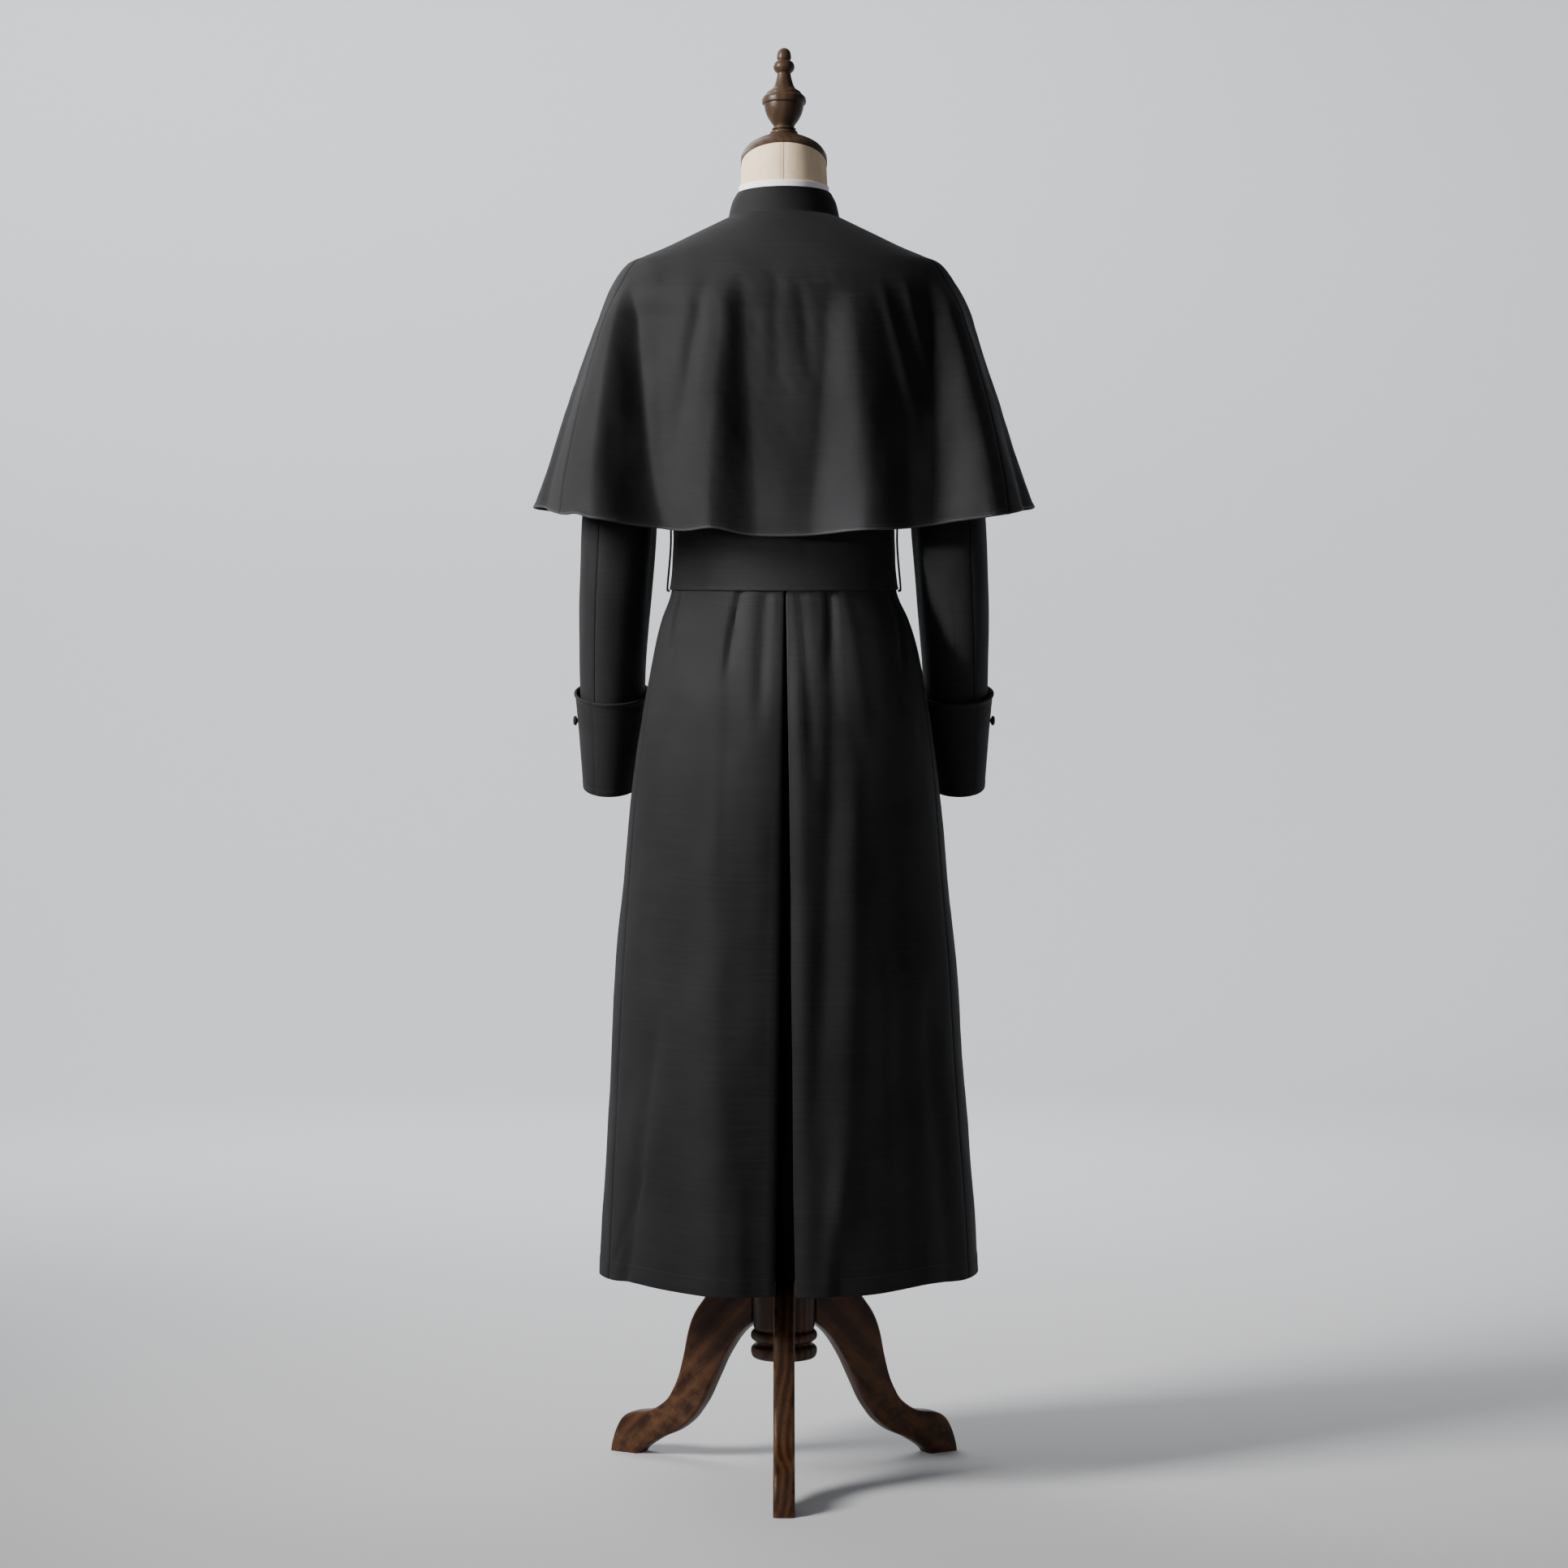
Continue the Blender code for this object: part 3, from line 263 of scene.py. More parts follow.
def clothPiece(name, points, sizes, material, node=None,
               closed=False, sewn=(1, 1), seamColumn=None):
    # A cloth from a grid of points, with a UV map in metres: u along the rows, v up from the
    # lower edge. A foot or a rim is an edge of another wall: how deep, how thick, how soft.
    columns = points.shape[1]
    full = np.concatenate([points, points[:, :1]], 1) if closed else points
    u, v = runLengths(full, 1), runLengths(full, 0)
    fromTop = v[-1:] - v
    nearest = np.minimum(v, fromTop)
    if closed:
        fromSeam = u + 1.0 if seamColumn is None else np.abs(u - u[:, seamColumn, None])
    else:
        fromSeam = fromSides(u, sewn)
        nearest = np.minimum(nearest, fromSides(u, (1, 1)))
    thickness = np.full_like(v, sizes["wall"])
    for edge, distance in (("foot", v), ("rim", fromTop)):
        if edge in sizes:
            deep, wall, soft = sizes[edge]
            thickness += (wall - sizes["wall"]) * smoothStep((deep - distance) / soft)
    share = np.clip(nearest / common["edgeRound"], 0, 1)
    rounded = common["thinEdge"] + (1 - common["thinEdge"]) * np.sqrt(1 - (1 - share) ** 2)
    thickness = rounded * thickness
    most = float(thickness.max())

    item = gridMesh(name, points, u, v, closed)
    for label, values in (("fromSeam", fromSeam), ("fromTop", fromTop)):
        kept = values[:, :columns].reshape(-1).astype(np.float32)
        item.data.attributes.new(label, "FLOAT", "POINT").data.foreach_set("value", kept)
    weights = np.round(thickness[:, :columns].reshape(-1) / most, 3)
    group = item.vertex_groups.new(name="wall")
    for weight in np.unique(weights):
        group.add(np.nonzero(weights == weight)[0].tolist(), float(weight), "REPLACE")
    shell = item.modifiers.new("Wall", "SOLIDIFY")
    shell.thickness = most
    shell.offset = 0.0
    shell.use_even_offset = True
    shell.use_quality_normals = True
    shell.vertex_group = "wall"
    chooseOnly(item)
    bpy.ops.object.modifier_apply(modifier=shell.name)
    item.vertex_groups.clear()
    item.data.shade_smooth()
    item.data.set_sharp_from_angle(angle=math.radians(common["foldAngle"]))
    settle(item, material, node)

    # the cloth's own area; nothing uses it
    one, two = full[1:, :-1] - full[:-1, 1:], full[1:, 1:] - full[:-1, :-1]
    area = float(np.linalg.norm(np.cross(one, two), axis=-1).sum() / 2)


def faceOutward(item):
    work = bmesh.new()
    work.from_mesh(item.data)
    bmesh.ops.recalc_face_normals(work, faces=work.faces)
    work.to_mesh(item.data)
    work.free()


chooseOnly(None)


# Materials

class Wire:
    # one socket of a material; Python's own operators add Math nodes
    def __init__(self, tree, socket=None):
        self.tree = tree
        self.socket = socket

    def node(self, kind, settings=None, values=None, output=0):
        made = self.tree.nodes.new("ShaderNode" + kind)
        for name, value in (settings or {}).items():
            if name == "stops":
                setStops(made.color_ramp, value)
            else:
                setattr(made, name, value)
        for name, value in (values or {}).items():
            self.join(made.inputs[name], value)
        return Wire(self.tree, made.outputs[output])

    def join(self, socket, value):
        if isinstance(value, Wire):
            self.tree.links.new(value.socket, socket)
        else:
            socket.default_value = value

    def maths(self, operation, *values):
        return self.node("Math", {"operation": operation}, dict(enumerate(values)))

    def split(self):
        made = self.tree.nodes.new("ShaderNodeSeparateXYZ")
        self.join(made.inputs[0], self)
        return [Wire(self.tree, output) for output in made.outputs]

    def mixed(self, first, second):
        # colours mixed by this value
        return self.node("Mix", {"data_type": "RGBA"}, {0: self, 6: first, 7: second}, 2)

    def ramp(self, low, high):
        # 0 below low and 1 above high, or the other way round
        ends = (low, high, 0.0, 1.0) if low <= high else (high, low, 1.0, 0.0)
        names = ("From Min", "From Max", "To Min", "To Max")
        return self.node("MapRange", {"interpolation_type": "SMOOTHSTEP"},
                         {"Value": self, **dict(zip(names, ends))})

    def line(self, place, width):
        # 1 along a line where this value passes a place
        return (self - place).size().ramp(width, width * 0.35)

    def size(self):
        return self.maths("ABSOLUTE", self)

    def ribs(self, pitch):
        # waves between 0 and 1
        return self.wave(pitch) * 0.5 + 0.5

    def wave(self, pitch):
        return self.maths("SINE", self * (math.tau / pitch))

    def noise(self, scale, detail=2.0, rough=0.5):
        return self.node("TexNoise", {"noise_dimensions": "3D"},
                         {"Vector": self, "Scale": scale, "Detail": detail, "Roughness": rough})

    def streaks(self, scale, detail=2.0, rough=0.5):
        # noise with its own scale along each axis
        return self.mapped(scale=scale).noise(1.0, detail, rough)

    def mapped(self, place=(0, 0, 0), turn=(0, 0, 0), scale=(1, 1, 1)):
        return self.node("Mapping", {},
                         {"Vector": self, "Location": place, "Rotation": turn, "Scale": scale})

    def place(self):
        return self.node("TexCoord", output=3)

    def cloth(self):
        return self.node("UVMap", {"uv_map": "cloth"})

    def attribute(self, name):
        return self.node("Attribute", {"attribute_name": name}, output=2)

    def bump(self, height, distance, **under):
        return self.node("Bump", {}, {"Height": height, "Distance": distance, **under})


def overload(name, operation):
    setattr(Wire, f"__{name}__", lambda self, other: self.maths(operation, self, other))
    setattr(Wire, f"__r{name}__", lambda self, other: self.maths(operation, other, self))


for name, operation in (("add", "ADD"), ("sub", "SUBTRACT"), ("mul", "MULTIPLY")):
    overload(name, operation)


def setStops(ramp, stops):
    while len(ramp.elements) < len(stops):
        ramp.elements.new(0.5)
    for element, (place, colour) in zip(ramp.elements, stops):
        element.position = place
        element.color = (*colour, 1.0)


def newMaterial(name, specular, fixed):
    # a Principled material whose fixed values sit on its own sockets
    material = bpy.data.materials.new(name)
    material.use_nodes = True
    shader = material.node_tree.nodes["Principled BSDF"]
    for socket, value in {"Specular IOR Level": specular, **fixed}.items():
        shader.inputs[socket].default_value = value
    return material, Wire(material.node_tree)


def dress(material, colour, rough, normal, **more):
    shader = material.node_tree.nodes["Principled BSDF"]
    looks = {"Base Color": colour, "Roughness": rough, "Normal": normal, **more}
    for socket, value in looks.items():
        value.join(shader.inputs[socket], value)
    return material


def grey(level, blue=0.0):
    return (level, level, level + blue, 1.0)


woolSizes = {
    # shadeBlack is painted shade: the near-black tone of the strip deep in the pleat
    "shadeBlack": (0.0006, 0.0006, 0.0007, 1.0), "dark": (0.0050, 0.0050, 0.0054, 1.0),
    # worn: a pale tone for painted sheen along the hem's edge, with some wear, and for painted
    # highlights on stitches
    "light": (0.0150, 0.0149, 0.0160, 1.0), "worn": (0.036, 0.035, 0.036, 1.0),
    "roughness": (0.66, 0.80),
    "twill": 0.0011,  # pitch of the twill's diagonal ribs
    "twillDepth": 0.00010,
    "slub": (9.0, 250.0, 1),  # streaks per metre along and across the weft
    "slubDepth": 0.00016,
    "stitch": 0.0036,  # stitch length
    "stitchWidth": 0.0007, "stitchDepth": 0.0005, "wornEdge": (0.0038, 0.0012),
}


def wool(name, stitchUp=(), stitchDown=(), seam=0.6, edgeLight=0.0, tone=1.0,
         tones=("dark", "light"), shine=1.0):
    # fine twill, with rows of stitches up from the lower edge or down from the upper one
    sizes = woolSizes
    material, wire = newMaterial(name, 0.13 * shine, {
        "Sheen Weight": 0.05 * shine, "Sheen Roughness": 0.45, "Sheen Tint": grey(0.62, 0.04)})
    cloth = wire.cloth()
    u, v, _ = cloth.split()
    place = wire.place()
    weave = (u + v).ribs(sizes["twill"]) * 0.7 + v.ribs(sizes["twill"] * 0.8) * 0.3
    slub = cloth.streaks(sizes["slub"], 3.0, 0.6)
    nap = place.noise(900.0, 2.0, 0.7)
    slow = place.noise(5.5, 3.0, 0.55).ramp(0.25, 0.75)
    shade = slow * 0.55 + slub.ramp(0.30, 0.72) * 0.33 + nap * 0.22
    colour = (shade * tone).mixed(*(sizes[key] for key in tones))
    if edgeLight:
        # a pale band along the lower edge: painted sheen where the hem's edge catches the light,
        # with some wear
        colour = (v.ramp(*sizes["wornEdge"]) * edgeLight).mixed(colour, sizes["worn"])
    ground = wire.bump(slub, sizes["slubDepth"])
    normal = wire.bump(weave + nap * 0.5, sizes["twillDepth"], Normal=ground)
    if stitchUp or stitchDown:
        stitches = 0.0
        dash = u.ribs(sizes["stitch"]).ramp(0.25, 0.55)
        for value, rows in ((v, stitchUp), (wire.attribute("fromTop"), stitchDown)):
            for row in rows:
                stitches = value.line(row, sizes["stitchWidth"]) + stitches
        # painted shade in the holes between stitches, and a painted highlight on each stitch
        colour = (stitches * (1 - dash) * 0.8).mixed(colour, sizes["dark"])
        colour = (stitches * dash * 0.5).mixed(colour, sizes["worn"])
        normal = wire.bump(stitches * (dash * 1.2 - 1.0), sizes["stitchDepth"], Normal=normal)
    # painted shade: the cloth darkens along its sewn edges, where the seam sinks; seam sets how
    # strongly
    seamShade = wire.attribute("fromSeam").ramp(0.0016, 0.0003) * seam
    colour = seamShade.mixed(colour, grey(0.003))
    low, high = sizes["roughness"]
    return dress(material, colour, slub * (high - low) + (low - 0.04) + nap * 0.08, normal)


def silk(name):
    # the band's plain cloth, pressed flat, with a row of stitches along each edge
    material, wire = newMaterial(name, 0.16, {
        "Sheen Weight": 0.05, "Sheen Roughness": 0.35, "Sheen Tint": grey(0.6, 0.04)})
    cloth = wire.cloth()
    u, v, _ = cloth.split()
    slub = cloth.streaks((5.0, 420.0, 1), 3.0, 0.65)
    slow = cloth.streaks((3.0, 14.0, 1))
    row = v.line(0.0045, 0.0006) + wire.attribute("fromTop").line(0.0045, 0.0006)
    dash = u.ribs(0.0032).ramp(0.3, 0.6)
    shade = (slub * 0.6 + slow * 0.5).ramp(0.25, 0.85)
    colour = shade.mixed(grey(0.0050, 0.0004), grey(0.0125, 0.0007))
    # a painted highlight on each stitch of the edge rows
    colour = (row * dash * 0.35).mixed(colour, grey(0.034, 0.002))
    weave = u.wave(0.0007) * 0.25 + v.wave(0.0007) * 0.25
    normal = wire.bump(weave + slub * 1.5 + row * (dash - 1.0), 0.00022)
    return dress(material, colour, slub * 0.18 + 0.56, normal)


def buttonCloth(name):
    # the same wool drawn tight over a button, in a finer weave
    material, wire = newMaterial(name, 0.28, {"Sheen Weight": 0.15, "Sheen Roughness": 0.4})
    place = wire.place()
    x, _, z = place.split()
    weave = (x + z).wave(0.0008) * 0.5 + (z - x).wave(0.0008) * 0.5
    nap = place.noise(1400.0)
    colour = nap.ramp(0.3, 0.75).mixed(grey(0.0075, 0.001), (0.0225, 0.0223, 0.0240, 1))
    return dress(material, colour, nap * 0.15 + 0.68, wire.bump(weave + nap, 0.00008))


def thread(name):
    # two strands twisted together, read along the loop's own UV map
    material, wire = newMaterial(name, 0.3, {"Sheen Weight": 0.1})
    around, along, _ = wire.cloth().split()
    turns = along * 430.0 + around
    ridge = (turns.maths("FRACT", turns) - 0.5).size() * 2.0
    # painted shade: darker toward the grooves between the strands
    colour = ridge.mixed(grey(0.009, 0.001), grey(0.003, 0.0005))
    return dress(material, colour, ridge * 0.2 + 0.6, wire.bump(1 - ridge, 0.0003))


linenSizes = {
    "white": ((0.80, 0.80, 0.80, 1), (0.90, 0.90, 0.895, 1)),
    "natural": ((0.50, 0.340, 0.190, 1), (0.89, 0.720, 0.500, 1)),
    "seam": (0.16, 0.12, 0.085, 1), "stitches": (0.22, 0.17, 0.12, 1),
    "stitch": 0.0042,  # stitch length, and how far the rows lie from the seam
    "thread": 0.0009, "uneven": 0.0004, "depth": 0.00014, "seamDepth": 0.0008,
}


def linen(name, tones, rough, seamAt=None):
    # plain weave of uneven threads; seamAt is where on u the form's cover is sewn together
    sizes = linenSizes
    material, wire = newMaterial(name, 0.3, {"Sheen Weight": 0.06, "Sheen Roughness": 0.5})
    cloth = wire.cloth()
    u, v, _ = cloth.split()
    wide = cloth.streaks((1100.0, 30.0, 1))
    long = cloth.streaks((30.0, 1100.0, 1))
    warp = (u + wide * sizes["uneven"]).ribs(sizes["thread"])
    weft = (v + long * sizes["uneven"]).ribs(sizes["thread"])
    weave = warp * 0.5 + weft * 0.5
    shade = weave * 0.25 + wide * 0.3 + long * 0.3 + cloth.streaks((14, 9, 1), 3.0) * 0.35
    colour = shade.ramp(0.28, 0.78).mixed(*tones)
    normal = wire.bump(weave + wide * 0.8 + long * 0.8, sizes["depth"])
    if seamAt is not None:
        seam = u.line(seamAt, 0.0008)
        beside = (u - seamAt).size().line(sizes["stitch"], 0.0005)
        dash = v.ribs(sizes["stitch"]).ramp(0.3, 0.6)
        colour = (seam * 0.5).mixed(colour, sizes["seam"])
        colour = (beside * dash * 0.15).mixed(colour, sizes["stitches"])
        height = 1 - seam - beside * dash * 0.4
        normal = wire.bump(height, sizes["seamDepth"], Normal=normal)
    return dress(material, colour, shade * 0.12 + (rough - 0.06), normal)


# deep, body and pale tones of the grain, then the tone where it is rubbed
walnutSizes = {
    "legs": ((0.0075, 0.0028, 0.0014), (0.0370, 0.0140, 0.0054), (0.090, 0.0370, 0.0140),
             (0.120, 0.058, 0.026, 1.0)),
    "turned": ((0.0180, 0.0094, 0.0048), (0.0450, 0.0250, 0.0135), (0.072, 0.0420, 0.0230),
               (0.090, 0.056, 0.034, 1.0)),
    "hub": ((0.0130, 0.0058, 0.0028), (0.0460, 0.0200, 0.0092), (0.090, 0.0400, 0.0180),
            (0.120, 0.060, 0.030, 1.0)),
    "pit": (0.006, 0.003, 0.002, 1), "stops": (0.22, 0.52, 0.86), "ringPitch": 0.011,
    "depth": 0.00018,
}


def walnut(name, tones, turn=0.0, lean=0.0, wear=0.6, contrast=1.0, coat=0.07):
    # Stained walnut. turn and lean bring the grain's direction onto Z before it is read.
    sizes = walnutSizes
    material, wire = newMaterial(name, 0.16, {"Coat Roughness": 0.24})
    *grains, rubbed = sizes[tones]
    centred = wire.place().mapped(place=(0.0, -common["poleY"], 0.0))
    board = centred.mapped(turn=(0.0, 0.0, -turn)).mapped(turn=(lean, 0.0, 0.0))
    drift = board.streaks((9.0, 9.0, 1.3), 3.0, 0.6)
    x, y, _ = board.split()
    rings = (x + y * 0.35 + drift * 0.030).ribs(sizes["ringPitch"])
    streak = board.streaks((260.0, 260.0, 13.0), 4.0, 0.65)
    pit = board.streaks((1500.0, 1500.0, 55.0), 1.0).ramp(0.40, 0.30)
    patch = centred.noise(17.0, 4.0, 0.6)
    grain = rings * 0.34 + streak * 0.46 + drift * 0.30 + (patch - 0.5) * 0.42
    grain = (grain - 0.52) * contrast + 0.52
    colour = wire.node("ValToRGB", {"stops": list(zip(sizes["stops"], grains))}, {"Fac": grain})
    rub = centred.noise(60.0, 3.0, 0.6).ramp(0.36, 0.66)
    # on the wood this is wear only, on the raised edges
    worn = wire.attribute("ridge").ramp(0.10, 0.75) * rub * wear
    colour = (pit * 0.6).mixed(worn.mixed(colour, rubbed), sizes["pit"])
    return dress(material, colour, streak * 0.14 + worn * 0.14 + 0.34,
                 wire.bump(streak * 0.6 - pit, sizes["depth"]),
                 **{"Coat Weight": (1 - worn) * coat})


skirtWool = wool("skirtWool", stitchUp=(0.022,))
# painted shade: the strip behind the pleat gets near-black colours and little shine, for the shadow
# deep in the pleat
pleatWool = wool("pleatWool", tone=0.2, tones=("shadeBlack", "dark"), shine=0.15)
sleeveWool = wool("sleeveWool", seam=0.75)
cuffWool = wool("cuffWool", stitchUp=(0.0095,), stitchDown=(0.0065,), tone=0.95)
capeWool = wool("capeWool", stitchUp=(0.0062,), edgeLight=0.85, seam=0.9)
collarWool = wool("collarWool", stitchUp=(0.0035,), stitchDown=(0.0045,), tone=0.95)
bandSilk = silk("bandSilk")
coveredCloth = buttonCloth("coveredCloth")
loopThread = thread("loopThread")
whiteLinen = linen("whiteLinen", linenSizes["white"], 0.62)
naturalLinen = linen("naturalLinen", linenSizes["natural"], 0.86, seamAt=0.0)
turnedWalnut = walnut("turnedWalnut", "turned", wear=0.20, contrast=0.5, coat=0.12)
hubWalnut = walnut("hubWalnut", "hub", wear=0.45)
print("materials: wool, band silk, covered buttons, thread, linens, walnut")


# Body

# Rings from the hem to the neckline, in half widths and half depths.
bodyRings = Table("| height left right back front drop", [
    (256, 240, 253, 189, 199, 0), (341, 236.2, 249, 183.5, 193, 0),
    (435, 231.2, 241, 177.5, 186.5, 0), (548, 225.2, 232, 170.5, 178.5, 0),
    (669, 218.2, 224, 162.5, 170.5, 0), (775, 209.2, 213, 156, 163.5, 0),
    (892, 197.2, 202, 147.5, 155, 0), (986, 183.2, 190, 139, 146, 0),
    (1068, 169.2, 174.5, 128.5, 134.5, 0), (1110, 159, 162, 121.5, 126.5, 0),
    (1146, 146.5, 146.5, 113, 117, 0), (1200, 141.2, 141.2, 108.5, 112, 0),
    (1270, 143, 143, 112, 115, 0), (1350, 155, 155, 121, 122, 0), (1440, 169, 169, 127, 125, 0),
    (1500, 175.5, 175.5, 124, 120, 1), (1545, 179, 179, 112, 105, 5),
    (1566, 178.5, 178.5, 100, 92, 9), (1576, 175, 175, 92, 84, 12), (1587, 157, 157, 84, 77, 16),
    (1606, 119, 119, 73.5, 69, 22), (1621, 87, 87, 66.8, 64, 26), (1629, 72, 72, 64, 61.5, 28),
])
sideSeam = Table("height angle", [(0.256, 69), (0.7, 71), (1.146, 78), (1.3, 84), (1.44, 90)])
# Each fold runs from low to high and dies out over fade. Its widths are those toward smaller
# and larger angles. A negative rise is a trough.
skirtFolds = Table("angleLow angleHigh widthLess widthMore | low high fade rise", [
    (17, 18, 6, 8, 200, 400, 200, 3.5), (5, 5, 5, 8, 200, 400, 200, -3),
    (20.5, 23, 6, 9, 200, 700, 250, 6), (4, 3, 6, 6, 200, 700, 350, -4.5),
    (57, 48, 3.2, 3.4, 270, 520, 120, -4), (44, 43, 8, 8, 200, 700, 200, 4),
    (-1.5, -1, 3.6, 4.5, 200, 1136, 100, -2), (-7, -6, 3.6, 3, 200, 950, 150, 3.2),
    (-9.5, -19.5, 3.6, 3, 520, 1000, 140, -3), (-17.5, -24.5, 4, 4, 400, 820, 160, 4),
    (-12, -16.5, 2.2, 3.6, 240, 380, 70, 4.5), (-42, -43, 8, 8, 200, 700, 200, 2),
    (-57, -55, 6.5, 5, 200, 500, 180, -3.5), (96, 100, 7, 6, 200, 760, 200, -7),
    (117, 116, 8, 8, 200, 800, 200, 6), (138, 134, 6.5, 5, 200, 850, 180, -8.5),
    (153, 150, 6, 6, 200, 700, 180, 5), (-98, -101, 6, 7, 200, 700, 200, -7),
    (-121, -119, 8, 8, 200, 820, 200, 6), (-141, -136, 5, 6.5, 200, 850, 180, -8),
    (-156, -152, 6, 6, 200, 700, 180, 5),
    # tucks that start under the band
    (24.2, 22.8, 2.2, 1.6, 1070, 1136, 60, -5.4), (21.5, 23, 2.6, 2.2, 780, 1050, 160, -0.9),
    (15.5, 16, 3, 3, 1060, 1136, 110, 1.4), (9.2, 8.8, 2.6, 2.6, 1040, 1136, 120, -3.2),
    (-9.5, -7.6, 2.4, 2.2, 980, 1136, 100, -2.6), (-21, -23.2, 1.9, 3, 1085, 1136, 85, -4.8),
    (-31, -30, 3.4, 3.4, 1020, 1136, 110, 1.6), (61, 66.5, 2.6, 1.5, 1085, 1136, 34, -7.5),
    (-62, -68, 1.8, 3.6, 1070, 1120, 40, -4.5), (135, 140, 3.4, 2, 1080, 1132, 40, -4.5),
    (-134, -139, 2, 3.4, 1080, 1132, 40, -4.5),
    # finer creases low in the skirt
    (60.5, 53, 1.7, 2.2, 310, 370, 60, -2.2), (13.2, 13.5, 2, 2.6, 200, 340, 100, 2.2),
    (-14.6, -15.5, 1.3, 1.6, 236, 320, 50, -2.4), (-34, -35.5, 2.4, 2, 360, 640, 150, -1),
    (108, 107, 2.2, 3, 300, 560, 140, -2.6), (-110, -108, 3, 2.2, 340, 620, 140, -2.4),
    (128, 127, 2, 2.6, 260, 420, 100, -2.8), (-131, -128, 2.6, 2, 280, 470, 120, -2.6),
])
# The skirt's hem rises a little at each side of the back.
hemDips = Table("angle width | rise", [
    (50, 16, 6.8), (84, 22, 4.2), (-46, 15, 7.8), (-84, 24, 6.2),
])
# The pleat: where each back panel turns in, how deep it goes, how far the strip behind reaches.
pleatTable = Table("| height right left depth reach", [
    (256, -14.8, 12.1, 17.5, 45), (370, -12.1, 10, 16, 42), (780, -8.1, 3, 12.5, 33),
    (1146, -2.4, -0.4, 4.5, 22), (1200, -0.2, 0.2, 3.6, 20), (1570, -0.2, 0.2, 2.8, 20),
    (1629, -0.2, 0.2, 1.8, 20),
])
bodySizes = {
    "wall": 0.0016,
    "foot": (0.0228, 0.0028, 0.0016),  # the turned-up hem, sewn at its top
    "hem": 0.256,
    "hemLift": 0.340,  # the hem's rise fades out up to here
    "hemRun": 0.080,
    "armpit": 1.440, "shoulderTip": 1.576, "neckline": 1.629, "armSweep": 27.0,
    "bandBottom": 1.150, "bandTop": 1.275,
    "foldsEnd": 0.014,  # the folds die out over this much below the band
    "stripHem": 0.273, "stripTop": 1.190,
    "rollShare": 0.45,  # the left panel rolls softly into the pleat
    "rollMost": 0.0055,
    "rollSpread": 2.8,  # how much wider than deep the soft roll is
    "crispRoll": 0.0009,  # the right one turns in sharply
    "lap": 0.015,  # how far each front passes the centre
    "stepDepth": 0.0022,  # how far the right front steps in under the left, and where
    "stepReach": 0.026, "stepRun": 0.008,
    "tipRoom": (0.0005, 0.030),  # more room in the seams, near the shoulder tip
    "ripples": ((0, 0.00085, 0.105), (50, 0.0002975, 0.034)),
    "calmFrom": 1.02,  # the cloth grows even from here up to the waist
    "calmRun": 0.10, "rowStep": 0.0058, "columns": 50, "stripColumns": 14,
}
stationSamples = np.linspace(0, bodyRings.last, 3000)
heightSamples = bodyRings.at(stationSamples).height


def bodyRow(height):
    return bodyRings.at(np.interp(height, heightSamples, stationSamples))


def foldRise(angle, height):
    total = 0.0
    for angleLow, angleHigh, less, more, low, high, fade, rise in skirtFolds.rows:
        centre = angleLow + (angleHigh - angleLow) * (height - low) / (high - low)
        ends = smoothStep((height - low + fade) / fade) * smoothStep((high + fade - height) / fade)
        total = total + rise * bell(angle, centre, less, more) * ends
    return total * smoothStep((bodySizes["bandBottom"] - height) / bodySizes["foldsEnd"])


def bodyPoint(angle, height, folded=True, lift=0.0):
    # a point of the body's cloth, moved out by lift
    rise = lift + (foldRise(angle, height) if folded else 0.0)
    point = ringPoint(bodyRow(height), angle, rise)
    low = smoothStep((bodySizes["hemLift"] - height) / bodySizes["hemRun"])
    point[..., 2] += bells(hemDips, angle) * low
    return point


def ringSpeed(angle, height):
    # metres along a ring for each degree
    step = bodyPoint(angle + 0.5, height, False) - bodyPoint(angle - 0.5, height, False)
    return np.linalg.norm(step, axis=-1)


def sideAngle(heights):
    # where a back panel ends: side seam, then armhole, then shoulder seam
    low, high = bodySizes["armpit"], bodySizes["shoulderTip"]
    part = np.clip((heights - low) / (high - low), 0, 1)
    arm = 90.0 - bodySizes["armSweep"] * np.sqrt(np.maximum(0.0, 1 - (2 * part - 1) ** 2))
    return np.where(heights <= low, sideSeam.straight(heights).angle, arm)


def panelHeights(low, high):
    return low + spaced(high - low, int(round((high - low) / bodySizes["rowStep"])))


def spreadAngles(low, high, heights, columns):
    # angles between two edges, with some close to each edge
    return spread(low, high, (high - low) * ringSpeed((low + high) / 2, heights), columns)


def seamTurn(angle, heights):
    # the angle that half a seam's room takes, more where the shoulder tip turns sharply
    room, near = bodySizes["tipRoom"]
    tip = np.maximum(0.0, 1 - np.abs(heights - bodySizes["shoulderTip"]) / near)
    return (common["seamHalf"] + room * tip) / ringSpeed(angle, heights)


def hungPanel(angles, heights, seed, sewn):
    points = bodyPoint(angles, heights[:, None])
    loose = (bodySizes["calmFrom"] + bodySizes["calmRun"] - points[..., 2]) / bodySizes["calmRun"]
    return uneven(points, seed, bodySizes, sewn, smoothStep(loose))


